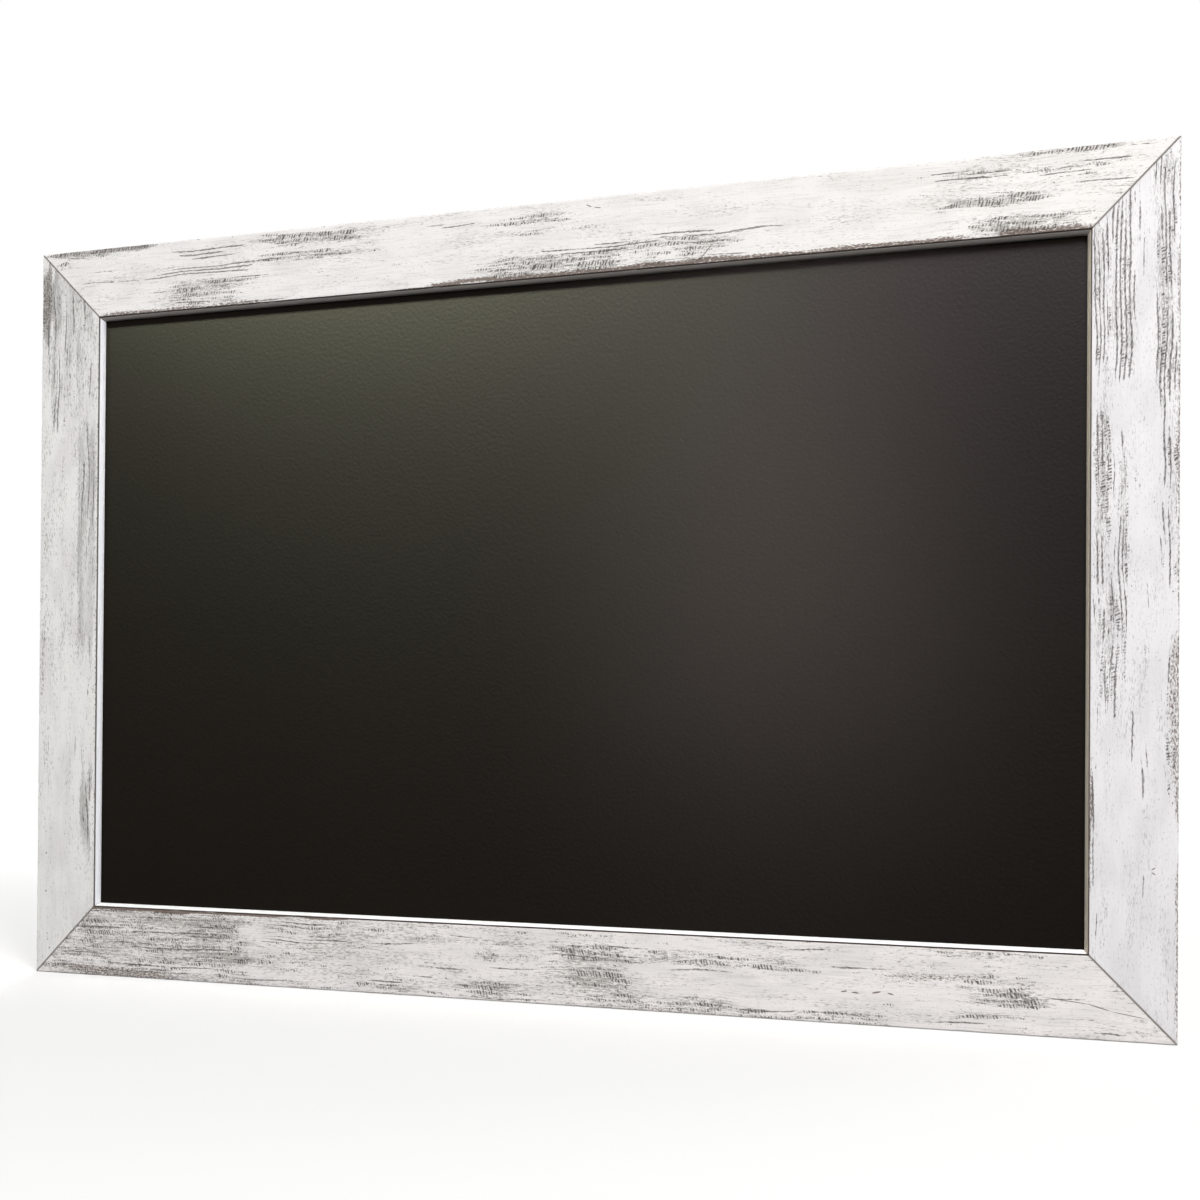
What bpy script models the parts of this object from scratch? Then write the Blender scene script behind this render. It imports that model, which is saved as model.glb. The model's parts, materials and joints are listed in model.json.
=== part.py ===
# Framed chalkboard: four mitred rails round a coated writing panel that drops in from the back.
# Metres, +Z up. The writing side faces -Y, and left and right are as seen from there.
# The origin is the middle of the bottom edge, halfway through the rails' thickness.

import math

import bpy
import bmesh
from mathutils import Matrix, Vector

# Whole board
BOARD_WIDTH = 0.9144
BOARD_HEIGHT = 0.6096

# Section of the rails, from the outer edge inwards
FACE_WIDTH = 0.0570
GROOVE_WIDTH = 0.0011
GROOVE_DEPTH = 0.0011
LIP_WIDTH = 0.0022
LIP_DROP = 0.0005
LIP_DEPTH = 0.0058
LIP_EDGE = 0.0006
RABBET_WIDTH = 0.0080
OUTER_ROUND = 0.0014
BACK_CHAMFER = 0.0006
MITRE_GAP = 0.0003

# Gap left between pieces that bear on each other
SEAT_GAP = 0.0003

# Writing panel
SHEET_THICKNESS = 0.0006
CORE_THICKNESS = 0.0090

# V-shaped nails across each mitre
NAIL_LEG = 0.0080
NAIL_THICKNESS = 0.0006
NAIL_HEIGHT = 0.0100
NAIL_MARGIN = 0.0140
NAIL_RABBET_MARGIN = 0.0045

# Turn buttons that hold the panel in its rabbet
BUTTON_LENGTH = 0.0300
BUTTON_WIDTH = 0.0100
BUTTON_THICKNESS = 0.0012
BUTTON_INSET = 0.0090
BUTTON_HOLE_PLAY = 0.0002
BUTTON_END_MARGIN = 0.1770
BUTTON_SWING_MARGIN = 0.0050

# Pan-head wood screws
SCREW_RADIUS = 0.0015
SCREW_LENGTH = 0.0120
SCREW_TIP = 0.0030
SCREW_HEAD_RADIUS = 0.0032
SCREW_HEAD_HEIGHT = 0.0020
SCREW_HEAD_RIM = 0.0008
SCREW_CROSS_WIDTH = 0.0009
SCREW_CROSS_REACH = 0.0019
SCREW_CROSS_DEPTH = 0.0011

# Strap hangers with a D-ring, one on each side rail
STRAP_SHEET = 0.0008
STRAP_WIDTH = 0.0110
STRAP_LENGTH = 0.0460
STRAP_FIRST_HOLE = 0.0215
STRAP_HOLE_SPACING = 0.0170
STRAP_END_ROUND = 0.0040
HANGER_DROP = 0.1200
RING_WIRE_RADIUS = 0.00125
RING_BEND_RADIUS = 0.0026
RING_DEPTH = 0.0130
RING_SIDE_PLAY = 0.0008

# Rubber bumpers that stand the board off the wall
BUMPER_RADIUS = 0.0064
BUMPER_TOP_RADIUS = 0.0048
BUMPER_HEIGHT = 0.0060
BUMPER_ROUND = 0.0008
BUMPER_INSET = 0.0250

# Facets on round work, and the angle in degrees past which an edge shows as sharp
ARRIS_STEPS = 4
ROUND_STEPS = 20
WIRE_STEPS = 8
SHARP_ANGLE = 35

# Sizes that follow from the ones above
sight_inset = FACE_WIDTH + GROOVE_WIDTH + LIP_WIDTH
rabbet_inset = sight_inset - RABBET_WIDTH
rail_thickness = LIP_DEPTH + SEAT_GAP + SHEET_THICKNESS + SEAT_GAP + CORE_THICKNESS
front_y = -rail_thickness / 2
back_y = rail_thickness / 2
panel_inset = rabbet_inset + SEAT_GAP
sheet_front_y = front_y + LIP_DEPTH + SEAT_GAP
core_front_y = sheet_front_y + SHEET_THICKNESS + SEAT_GAP
rail_middle = FACE_WIDTH / 2
nail_back_y = back_y - SEAT_GAP

button_half_width = BUTTON_WIDTH / 2
button_reach = BUTTON_LENGTH - button_half_width
pivot_inset = rabbet_inset - BUTTON_INSET
button_y = back_y + SEAT_GAP
button_seat_y = button_y + BUTTON_THICKNESS + SEAT_GAP

strap_y = back_y + SEAT_GAP
strap_leaf = 2 * STRAP_SHEET
strap_seat_y = strap_y + strap_leaf + SEAT_GAP
loop_inner_radius = RING_WIRE_RADIUS + SEAT_GAP
loop_outer_radius = loop_inner_radius + STRAP_SHEET
ring_axis_y = strap_y + loop_outer_radius
ring_axis_z = BOARD_HEIGHT - HANGER_DROP
ring_half_bar = STRAP_WIDTH / 2 + RING_SIDE_PLAY
ring_half_width = ring_half_bar + RING_BEND_RADIUS
strap_end_z = ring_axis_z - STRAP_LENGTH

pilot_radius = SCREW_RADIUS + SEAT_GAP
pilot_depth = SCREW_LENGTH + SEAT_GAP


def clear_scene():
    for old in list(bpy.data.objects):
        bpy.data.objects.remove(old, do_unlink=True)


def make_material(name, color, roughness, metallic=0.0):
    material = bpy.data.materials.new(name)
    material.use_nodes = True
    shader = material.node_tree.nodes["Principled BSDF"]
    shader.inputs["Base Color"].default_value = (*color, 1.0)
    shader.inputs["Roughness"].default_value = roughness
    shader.inputs["Metallic"].default_value = metallic
    return material


def finish_mesh(name, bm, smooth=False):
    # Closes the bmesh into a mesh with its faces pointing out
    bmesh.ops.recalc_face_normals(bm, faces=bm.faces)
    mesh = bpy.data.meshes.new(name)
    bm.to_mesh(mesh)
    bm.free()
    if smooth:
        mesh.shade_smooth()
        mesh.set_sharp_from_angle(angle=math.radians(SHARP_ANGLE))
    return mesh


def add_piece(name, mesh, material, matrix=Matrix()):
    piece = bpy.data.objects.new(name, mesh)
    bpy.context.collection.objects.link(piece)
    piece.matrix_world = matrix
    if not mesh.materials:
        mesh.materials.append(material)
    return piece


def add_cutter(name, bm):
    cutter = bpy.data.objects.new(name, finish_mesh(name, bm))
    bpy.context.collection.objects.link(cutter)
    cutter.hide_render = True
    cutter.display_type = "WIRE"
    return cutter


def cut(piece, cutter):
    modifier = piece.modifiers.new("cut_" + cutter.name, "BOOLEAN")
    modifier.operation = "DIFFERENCE"
    modifier.solver = "EXACT"
    modifier.object = cutter


def baked_mesh(piece):
    # The mesh as its modifiers leave it, to be shared by every copy of the piece
    graph = bpy.context.evaluated_depsgraph_get()
    mesh = bpy.data.meshes.new_from_object(piece.evaluated_get(graph))
    mesh.name = piece.data.name
    mesh.shade_smooth()
    mesh.set_sharp_from_angle(angle=math.radians(SHARP_ANGLE))
    bpy.data.objects.remove(piece, do_unlink=True)
    return mesh


def arc_points(centre, radius, start, end, steps):
    points = []
    for step in range(steps + 1):
        angle = math.radians(start + (end - start) * step / steps)
        points.append((centre[0] + radius * math.cos(angle), centre[1] + radius * math.sin(angle)))
    return points


def extrude_outline(bm, outline, lift, to_point, hole=None):
    # Fills a flat outline, with an optional hole, and extrudes it along lift.
    # to_point turns a pair from the outline into a point in space.
    edges = []
    for loop in (outline, hole or []):
        verts = [bm.verts.new(to_point(*pair)) for pair in loop]
        for first, second in zip(verts, verts[1:] + verts[:1]):
            edges.append(bm.edges.new((first, second)))
    filled = bmesh.ops.triangle_fill(bm, use_beauty=True, use_dissolve=False, edges=edges)
    faces = [item for item in filled["geom"] if isinstance(item, bmesh.types.BMFace)]
    raised = bmesh.ops.extrude_face_region(bm, geom=faces, use_keep_orig=True)
    moved = [item for item in raised["geom"] if isinstance(item, bmesh.types.BMVert)]
    bmesh.ops.translate(bm, verts=moved, vec=lift)


def turned(bm, profile, steps=ROUND_STEPS):
    # Turns a profile of (radius, height) pairs round the Y axis, height along +Y.
    # The profile starts and ends on the axis.
    rings = []
    for radius, height in profile:
        if radius == 0:
            rings.append([bm.verts.new((0, height, 0))])
            continue
        ring = []
        for step in range(steps):
            angle = 2 * math.pi * step / steps
            ring.append(bm.verts.new((radius * math.cos(angle), height, radius * math.sin(angle))))
        rings.append(ring)
    for lower, upper in zip(rings, rings[1:]):
        for step in range(steps):
            after = (step + 1) % steps
            corners = [lower[step % len(lower)], lower[after % len(lower)]]
            corners += [upper[after % len(upper)], upper[step % len(upper)]]
            bm.faces.new(list(dict.fromkeys(corners)))


def add_box(bm, low, high):
    size = [high[axis] - low[axis] for axis in range(3)]
    middle = [(high[axis] + low[axis]) / 2 for axis in range(3)]
    matrix = Matrix.Translation(middle) @ Matrix.Diagonal((*size, 1))
    bmesh.ops.create_cube(bm, size=1, matrix=matrix)


def rail_profile():
    # Pairs of inset from the rail's outer edge and depth behind its face
    crest_inset = FACE_WIDTH + GROOVE_WIDTH
    arris = arc_points((OUTER_ROUND, OUTER_ROUND), OUTER_ROUND, 180, 270, ARRIS_STEPS)
    profile = list(arris)
    profile += [(FACE_WIDTH, 0), (FACE_WIDTH, GROOVE_DEPTH), (crest_inset, GROOVE_DEPTH)]
    profile += [(crest_inset, LIP_DROP), (sight_inset, LIP_DEPTH - LIP_EDGE), (sight_inset, LIP_DEPTH)]
    profile += [(rabbet_inset, LIP_DEPTH), (rabbet_inset, rail_thickness)]
    profile += [(BACK_CHAMFER, rail_thickness), (0, rail_thickness - BACK_CHAMFER)]
    return profile


def rail_mesh(name, length):
    # The rail lies along X with its outer edge at Z = 0. Each end is cut at 45 degrees, so a line
    # that is some inset from the outer edge also starts that far along the rail.
    bm = bmesh.new()
    ends = []
    for side in (-1, 1):
        ring = []
        for inset, depth in rail_profile():
            reach = length / 2 - inset - MITRE_GAP / math.sqrt(2)
            ring.append(bm.verts.new((side * reach, front_y + depth, inset)))
        ends.append(ring)
        bm.faces.new(ring)
    count = len(ends[0])
    for index in range(count):
        after = (index + 1) % count
        bm.faces.new((ends[0][index], ends[0][after], ends[1][after], ends[1][index]))
    return finish_mesh(name, bm)


def make_rails(material, cutter):
    half_width = BOARD_WIDTH / 2
    half_height = BOARD_HEIGHT / 2
    layout = (
        ("rail_bottom", BOARD_WIDTH, (0, 0, 0), 0),
        ("rail_top", BOARD_WIDTH, (0, 0, BOARD_HEIGHT), 180),
        ("rail_left", BOARD_HEIGHT, (-half_width, 0, half_height), 90),
        ("rail_right", BOARD_HEIGHT, (half_width, 0, half_height), -90),
    )
    for name, length, place, turn in layout:
        matrix = Matrix.Translation(place) @ Matrix.Rotation(math.radians(turn), 4, "Y")
        rail = add_piece(name, rail_mesh(name, length), material, matrix)
        cut(rail, cutter)


def make_panel(coat, fibreboard):
    half_width = BOARD_WIDTH / 2 - panel_inset
    layers = (
        ("writing_surface", coat, sheet_front_y, SHEET_THICKNESS),
        ("core_board", fibreboard, core_front_y, CORE_THICKNESS),
    )
    for name, material, front, thickness in layers:
        bm = bmesh.new()
        low = (-half_width, front, panel_inset)
        high = (half_width, front + thickness, BOARD_HEIGHT - panel_inset)
        add_box(bm, low, high)
        add_piece(name, finish_mesh(name, bm), material)


def nail_insets():
    return {"outer": NAIL_MARGIN, "inner": rabbet_inset - NAIL_LEG - NAIL_RABBET_MARGIN}


def nail_layout():
    # Name, point on the mitre line, and the way the two legs run, for each nail
    for row, side_z in (("top", 1), ("bottom", -1)):
        for column, side_x in (("left", -1), ("right", 1)):
            for rank, inset in nail_insets().items():
                x = side_x * (BOARD_WIDTH / 2 - inset)
                z = BOARD_HEIGHT / 2 + side_z * (BOARD_HEIGHT / 2 - inset)
                yield f"corner_nail_{row}_{column}_{rank}", (x, z), (-side_x, -side_z)


def add_nail(bm, point, ways, clearance, back, height):
    half = NAIL_THICKNESS / 2 + clearance
    leg = NAIL_LEG + clearance
    outline = [(-half, -half), (leg, -half), (leg, half), (half, half), (half, leg), (-half, leg)]

    def to_point(along_x, along_z):
        return Vector((point[0] + ways[0] * along_x, back, point[1] + ways[1] * along_z))

    extrude_outline(bm, outline, Vector((0, -height, 0)), to_point)


def make_nails(material):
    for name, point, ways in nail_layout():
        bm = bmesh.new()
        add_nail(bm, point, ways, 0, nail_back_y, NAIL_HEIGHT)
        add_piece(name, finish_mesh(name, bm), material)


def screw_mesh(material):
    # A pan-head screw along Y: its head sits on Y = 0 and its shank runs to -Y
    bm = bmesh.new()
    rim = SCREW_HEAD_RIM
    crown = SCREW_HEAD_HEIGHT - rim
    profile = [(0, -SCREW_LENGTH), (SCREW_RADIUS, SCREW_TIP - SCREW_LENGTH), (SCREW_RADIUS, 0)]
    profile += [(SCREW_HEAD_RADIUS, 0), (SCREW_HEAD_RADIUS, rim)]
    for step in range(1, ARRIS_STEPS):
        angle = math.radians(90 * step / ARRIS_STEPS)
        profile.append((SCREW_HEAD_RADIUS * math.cos(angle), rim + crown * math.sin(angle)))
    profile.append((0, SCREW_HEAD_HEIGHT))
    turned(bm, profile)
    blank = add_piece("screw_blank", finish_mesh("screw", bm), material)
    cross = bmesh.new()
    half = SCREW_CROSS_WIDTH / 2
    outline = []
    for turn in range(4):
        spin = Matrix.Rotation(math.radians(90 * turn), 2)
        for corner in ((SCREW_CROSS_REACH, -half), (SCREW_CROSS_REACH, half), (half, half)):
            outline.append(tuple(spin @ Vector(corner)))
    floor = SCREW_HEAD_HEIGHT - SCREW_CROSS_DEPTH
    lift = Vector((0, SCREW_HEAD_HEIGHT, 0))
    extrude_outline(cross, outline, lift, lambda x, z: Vector((x, floor, z)))
    cutter = add_cutter("cross_recess", cross)
    cut(blank, cutter)
    mesh = baked_mesh(blank)
    bpy.data.objects.remove(cutter, do_unlink=True)
    return mesh


def button_layout():
    # Name, pivot and turn about Y that points the button at the panel
    low = pivot_inset
    high = BOARD_HEIGHT - pivot_inset
    side = BOARD_WIDTH / 2 - pivot_inset
    end = BOARD_WIDTH / 2 - BUTTON_END_MARGIN
    upper = strap_end_z - button_reach - BUTTON_SWING_MARGIN
    lower = BOARD_HEIGHT - upper
    for place, x in (("left", -end), ("middle", 0), ("right", end)):
        yield f"top_{place}", (x, high), 180
        yield f"bottom_{place}", (x, low), 0
    for place, z in (("upper", upper), ("lower", lower)):
        yield f"left_{place}", (-side, z), 90
        yield f"right_{place}", (side, z), -90


def button_mesh():
    # A flat strip with round ends, its screw hole at the origin and its long end towards +Z
    bm = bmesh.new()
    long_end = BUTTON_LENGTH - BUTTON_WIDTH
    half_steps = ROUND_STEPS // 2
    outline = arc_points((0, long_end), button_half_width, 0, 180, half_steps)
    outline += arc_points((0, 0), button_half_width, 180, 360, half_steps)
    hole_radius = SCREW_RADIUS + BUTTON_HOLE_PLAY
    hole = arc_points((0, 0), hole_radius, 0, 360, ROUND_STEPS)[:-1]
    lift = Vector((0, BUTTON_THICKNESS, 0))
    extrude_outline(bm, outline, lift, lambda x, z: Vector((x, 0, z)), hole)
    return finish_mesh("turn_button", bm, smooth=True)


def make_buttons(material, screw_material, screw):
    shape = button_mesh()
    for name, (x, z), turn in button_layout():
        spin = Matrix.Rotation(math.radians(turn), 4, "Y")
        add_piece("turn_button_" + name, shape, material, Matrix.Translation((x, button_y, z)) @ spin)
        seat = Matrix.Translation((x, button_seat_y, z))
        add_piece("button_screw_" + name, screw, screw_material, seat)


def hanger_layout():
    side = BOARD_WIDTH / 2 - rail_middle
    return (("left", -side), ("right", side))


def strap_hole_drops():
    return {"upper": STRAP_FIRST_HOLE, "lower": STRAP_FIRST_HOLE + STRAP_HOLE_SPACING}


def strap_mesh():
    # The strap is folded double round the ring's bar, which runs along X through the origin.
    # Pairs are the drop below the bar and the height above the strap's underside.
    meet = math.degrees(math.asin((strap_leaf - loop_outer_radius) / loop_outer_radius))
    centre = (0, loop_outer_radius)
    outline = arc_points(centre, loop_outer_radius, 270, meet, ROUND_STEPS)
    outline += [(STRAP_LENGTH, strap_leaf), (STRAP_LENGTH, 0)]
    bore = arc_points(centre, loop_inner_radius, 0, 360, ROUND_STEPS)[:-1]
    bm = bmesh.new()
    left = -STRAP_WIDTH / 2
    lift = Vector((STRAP_WIDTH, 0, 0))

    def to_point(drop, height):
        return Vector((left, height - loop_outer_radius, -drop))

    extrude_outline(bm, outline, lift, to_point, bore)
    return finish_mesh("strap_blank", bm)


def strap_cutter(x):
    # Two screw holes, and the two corners of the strap's free end
    bm = bmesh.new()
    below = strap_y - SEAT_GAP
    above = strap_y + strap_leaf + SEAT_GAP
    for drop in strap_hole_drops().values():
        outline = arc_points((x, ring_axis_z - drop), pilot_radius, 0, 360, ROUND_STEPS)[:-1]
        extrude_outline(bm, outline, Vector((0, above - below, 0)), lambda a, b: Vector((a, below, b)))
    past = STRAP_END_ROUND
    for side in (-1, 1):
        edge = x + side * STRAP_WIDTH / 2
        centre = (edge - side * STRAP_END_ROUND, strap_end_z + STRAP_END_ROUND)
        start = 270 + side * 90
        outline = arc_points(centre, STRAP_END_ROUND, start, 270, ARRIS_STEPS)
        outline += [(centre[0], strap_end_z - past), (edge + side * past, strap_end_z - past)]
        outline += [(edge + side * past, centre[1])]
        extrude_outline(bm, outline, Vector((0, above - below, 0)), lambda a, b: Vector((a, below, b)))
    return bm


def ring_path():
    # A D in the plane of X and the distance below the bar, starting at the bar's left end
    path = arc_points((ring_half_bar, RING_BEND_RADIUS), RING_BEND_RADIUS, 270, 360, ARRIS_STEPS)
    bow = RING_DEPTH - RING_BEND_RADIUS
    for step in range(1, ROUND_STEPS):
        angle = math.pi * step / ROUND_STEPS
        path.append((ring_half_width * math.cos(angle), RING_BEND_RADIUS + bow * math.sin(angle)))
    path += arc_points((-ring_half_bar, RING_BEND_RADIUS), RING_BEND_RADIUS, 180, 270, ARRIS_STEPS)
    return path


def ring_rest_lean():
    # The ring hangs down and leans out from the board by this angle, where its bow lies on the strap
    bow = RING_DEPTH - RING_BEND_RADIUS
    share = STRAP_WIDTH / 2 / ring_half_width
    crossing = RING_BEND_RADIUS + bow * math.sqrt(1 - share * share)
    rise = strap_leaf + SEAT_GAP + RING_WIRE_RADIUS - loop_outer_radius
    return math.asin(rise / crossing)


def ring_mesh():
    # The wire is swept round the D; the bar lies on the X axis and the bow hangs below it
    bm = bmesh.new()
    path = [Vector(pair) for pair in ring_path()]
    count = len(path)
    hoops = []
    for index in range(count):
        forward = (path[(index + 1) % count] - path[index]).normalized()
        backward = (path[index] - path[index - 1]).normalized()
        tangent = (forward + backward).normalized()
        outward = Vector((tangent.y, -tangent.x))
        stretch = 1 / tangent.dot(forward)
        hoop = []
        for step in range(WIRE_STEPS):
            angle = 2 * math.pi * step / WIRE_STEPS
            side = outward * RING_WIRE_RADIUS * math.cos(angle) * stretch
            rise = RING_WIRE_RADIUS * math.sin(angle)
            hoop.append(bm.verts.new((path[index].x + side.x, rise, -(path[index].y + side.y))))
        hoops.append(hoop)
    for index in range(count):
        near = hoops[index]
        far = hoops[(index + 1) % count]
        for step in range(WIRE_STEPS):
            after = (step + 1) % WIRE_STEPS
            bm.faces.new((near[step], near[after], far[after], far[step]))
    return finish_mesh("hanging_ring", bm, smooth=True)


def make_hangers(strap_material, ring_material, screw_material, screw):
    blank = strap_mesh()
    ring = ring_mesh()
    lean = Matrix.Rotation(ring_rest_lean(), 4, "X")
    for side, x in hanger_layout():
        axis = Matrix.Translation((x, ring_axis_y, ring_axis_z))
        strap = add_piece("hanger_strap_" + side, blank, strap_material, axis)
        cut(strap, add_cutter("strap_cuts_" + side, strap_cutter(x)))
        add_piece("hanging_ring_" + side, ring, ring_material, axis @ lean)
        for rank, drop in strap_hole_drops().items():
            seat = Matrix.Translation((x, strap_seat_y, ring_axis_z - drop))
            add_piece(f"strap_screw_{side}_{rank}", screw, screw_material, seat)


def bumper_mesh():
    # A tapered rubber foot along +Y with a flat end, its glued face at Y = 0
    bm = bmesh.new()
    centre = (BUMPER_TOP_RADIUS - BUMPER_ROUND, BUMPER_HEIGHT - BUMPER_ROUND)
    profile = [(0, 0), (BUMPER_RADIUS, 0)]
    profile += arc_points(centre, BUMPER_ROUND, 0, 90, ARRIS_STEPS)
    profile += [(0, BUMPER_HEIGHT)]
    turned(bm, profile)
    return finish_mesh("bumper", bm, smooth=True)


def make_bumpers(material):
    shape = bumper_mesh()
    x = BOARD_WIDTH / 2 - FACE_WIDTH - BUMPER_INSET
    for row, z in (("top", BOARD_HEIGHT - rail_middle), ("bottom", rail_middle)):
        for column, side in (("left", -1), ("right", 1)):
            matrix = Matrix.Translation((side * x, back_y + SEAT_GAP, z))
            add_piece(f"bumper_{row}_{column}", shape, material, matrix)


def rail_cutter():
    # Slots for the nails and pilot holes for the screws, all sunk from the rails' backs
    bm = bmesh.new()
    slot_back = back_y + SEAT_GAP
    slot_floor = nail_back_y - NAIL_HEIGHT - SEAT_GAP
    for _, point, ways in nail_layout():
        add_nail(bm, point, ways, SEAT_GAP, slot_back, slot_back - slot_floor)
    holes = [(x, z, button_seat_y) for _, (x, z), _ in button_layout()]
    for _, x in hanger_layout():
        holes += [(x, ring_axis_z - drop, strap_seat_y) for drop in strap_hole_drops().values()]
    for x, z, seat in holes:
        floor = seat - pilot_depth
        outline = arc_points((x, z), pilot_radius, 0, 360, ROUND_STEPS)[:-1]
        lift = Vector((0, slot_back - floor, 0))
        extrude_outline(bm, outline, lift, lambda a, b: Vector((a, floor, b)))
    return bm


clear_scene()
materials = {
    "whitewash": make_material("whitewashed_wood", (0.78, 0.77, 0.75), 0.65),
    "coat": make_material("chalk_coat", (0.022, 0.021, 0.019), 0.75),
    "fibreboard": make_material("fibreboard", (0.27, 0.17, 0.10), 0.85),
    "nail": make_material("blued_nail_steel", (0.30, 0.30, 0.31), 0.45, 1.0),
    "button": make_material("zinc_button_strip", (0.62, 0.63, 0.64), 0.38, 1.0),
    "strap": make_material("zinc_hanger_strip", (0.60, 0.61, 0.62), 0.36, 1.0),
    "ring": make_material("zinc_ring_wire", (0.66, 0.66, 0.66), 0.28, 1.0),
    "screw": make_material("zinc_screw", (0.64, 0.64, 0.63), 0.30, 1.0),
    "rubber": make_material("black_rubber", (0.02, 0.02, 0.02), 0.8),
}
rail_cuts = add_cutter("rail_cuts", rail_cutter())
pan_screw = screw_mesh(materials["screw"])
make_rails(materials["whitewash"], rail_cuts)
make_panel(materials["coat"], materials["fibreboard"])
make_nails(materials["nail"])
make_buttons(materials["button"], materials["screw"], pan_screw)
make_hangers(materials["strap"], materials["ring"], materials["screw"], pan_screw)
make_bumpers(materials["rubber"])
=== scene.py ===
# Framed chalkboard: fine surfaces, finishes, studio and camera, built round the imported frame.
# Metres, +Z up. The writing side faces -Y, and left and right are as seen from there.
import json
import math

import bpy
import bmesh
import numpy as np
from mathutils import Matrix, Vector, kdtree, noise


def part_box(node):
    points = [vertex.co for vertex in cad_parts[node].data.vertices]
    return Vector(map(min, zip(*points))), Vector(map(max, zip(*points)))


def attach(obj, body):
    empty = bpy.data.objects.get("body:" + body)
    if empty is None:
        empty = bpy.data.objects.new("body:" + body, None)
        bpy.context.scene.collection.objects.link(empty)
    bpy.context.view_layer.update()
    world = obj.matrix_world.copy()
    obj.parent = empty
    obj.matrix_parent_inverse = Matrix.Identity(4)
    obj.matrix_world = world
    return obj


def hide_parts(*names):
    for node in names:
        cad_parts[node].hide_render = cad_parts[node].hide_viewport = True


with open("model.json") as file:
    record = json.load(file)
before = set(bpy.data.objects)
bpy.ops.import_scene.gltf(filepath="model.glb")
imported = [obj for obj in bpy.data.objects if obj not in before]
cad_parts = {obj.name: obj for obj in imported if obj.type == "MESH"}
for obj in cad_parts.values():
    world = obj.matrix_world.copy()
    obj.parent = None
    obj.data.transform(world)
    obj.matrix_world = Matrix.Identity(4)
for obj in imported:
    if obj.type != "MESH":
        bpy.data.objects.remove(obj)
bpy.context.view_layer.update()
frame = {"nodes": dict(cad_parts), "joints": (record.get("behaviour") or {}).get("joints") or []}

mm = 0.001  # patches and marks are written in millimetres
print("frame loaded")

boardLow = Vector((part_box("rail_left")[0].x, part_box("rail_top")[0].y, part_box("rail_bottom")[0].z))
boardHigh = Vector((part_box("rail_right")[1].x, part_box("rail_top")[1].y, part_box("rail_top")[1].z))
boardWidth = boardHigh.x - boardLow.x
boardHeight = boardHigh.z - boardLow.z
railThickness = boardHigh.y - boardLow.y


# Node helpers

def newMaterial(name):
    material = bpy.data.materials.new(name)
    material.use_nodes = True
    tree = material.node_tree
    return material, tree, tree.nodes["Principled BSDF"]


def finishShader(tree, shader, colour, roughness, specular=None):
    # What is the same all over the surface sits on the shader's own socket
    tree.links.new(colour, shader.inputs["Base Color"])
    if isinstance(roughness, bpy.types.NodeSocket):
        tree.links.new(roughness, shader.inputs["Roughness"])
    else:
        shader.inputs["Roughness"].default_value = roughness
    if specular is not None:
        shader.inputs["Specular IOR Level"].default_value = specular


def addNode(tree, kind, inputs=None, **settings):
    node = tree.nodes.new(kind)
    for key, value in settings.items():
        setattr(node, key, value)
    for key, value in (inputs or {}).items():
        if isinstance(value, bpy.types.NodeSocket):
            tree.links.new(value, node.inputs[key])
        else:
            node.inputs[key].default_value = value
    return node


def calc(tree, operation, *values):
    inputs = dict(enumerate(values))
    return addNode(tree, "ShaderNodeMath", inputs, operation=operation).outputs[0]


def attributeOf(tree, name, output="Fac"):
    return addNode(tree, "ShaderNodeAttribute", attribute_name=name).outputs[output]


def placeOf(tree):
    return addNode(tree, "ShaderNodeTexCoord").outputs["Object"]


def noiseAt(tree, vector, periods, detail=1.0, roughness=0.5, shift=0.0):
    # periods: the size of a blotch along each axis, in the vector's own units
    mapping = addNode(tree, "ShaderNodeMapping", {
        "Vector": vector,
        "Scale": [1 / period for period in periods],
        "Location": (shift, shift, shift),
    })
    field = addNode(tree, "ShaderNodeTexNoise", {
        "Vector": mapping.outputs[0],
        "Scale": 1.0,
        "Detail": detail,
        "Roughness": roughness,
    })
    return field.outputs[0]


def band(tree, value, low, high):
    inputs = {"Value": value, "From Min": low, "From Max": high}
    return addNode(tree, "ShaderNodeMapRange", inputs, interpolation_type="SMOOTHSTEP").outputs[0]


def scaled(tree, value, low, high):
    # Turns 0..1 into low..high
    inputs = {"Value": value, "To Min": low, "To Max": high}
    return addNode(tree, "ShaderNodeMapRange", inputs).outputs[0]


def tint(tree, factor, first, second):
    node = addNode(tree, "ShaderNodeMix", data_type="RGBA")
    for index, value in ((0, factor), (6, first), (7, second)):
        if isinstance(value, bpy.types.NodeSocket):
            tree.links.new(value, node.inputs[index])
        else:
            node.inputs[index].default_value = value if index == 0 else (*value, 1)
    return node.outputs[2]


def setHeight(tree, shader, height, depth):
    bump = addNode(tree, "ShaderNodeBump", {"Height": height, "Distance": depth})
    tree.links.new(bump.outputs[0], shader.inputs["Normal"])


# Mesh helpers

def linked(name, data):
    made = bpy.data.objects.new(name, data)
    bpy.context.scene.collection.objects.link(made)
    return made


def placePiece(name, mesh, body, replaced):
    piece = linked(name, mesh)
    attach(piece, body)
    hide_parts(*replaced)
    return piece


def finishMesh(mesh, sharpAngle=35):
    mesh.shade_smooth()
    mesh.set_sharp_from_angle(angle=math.radians(sharpAngle))
    return mesh


def fromBmesh(name, bm, sharpAngle=35):
    bmesh.ops.recalc_face_normals(bm, faces=bm.faces)
    mesh = bpy.data.meshes.new(name)
    bm.to_mesh(mesh)
    bm.free()
    return finishMesh(mesh, sharpAngle)


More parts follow.
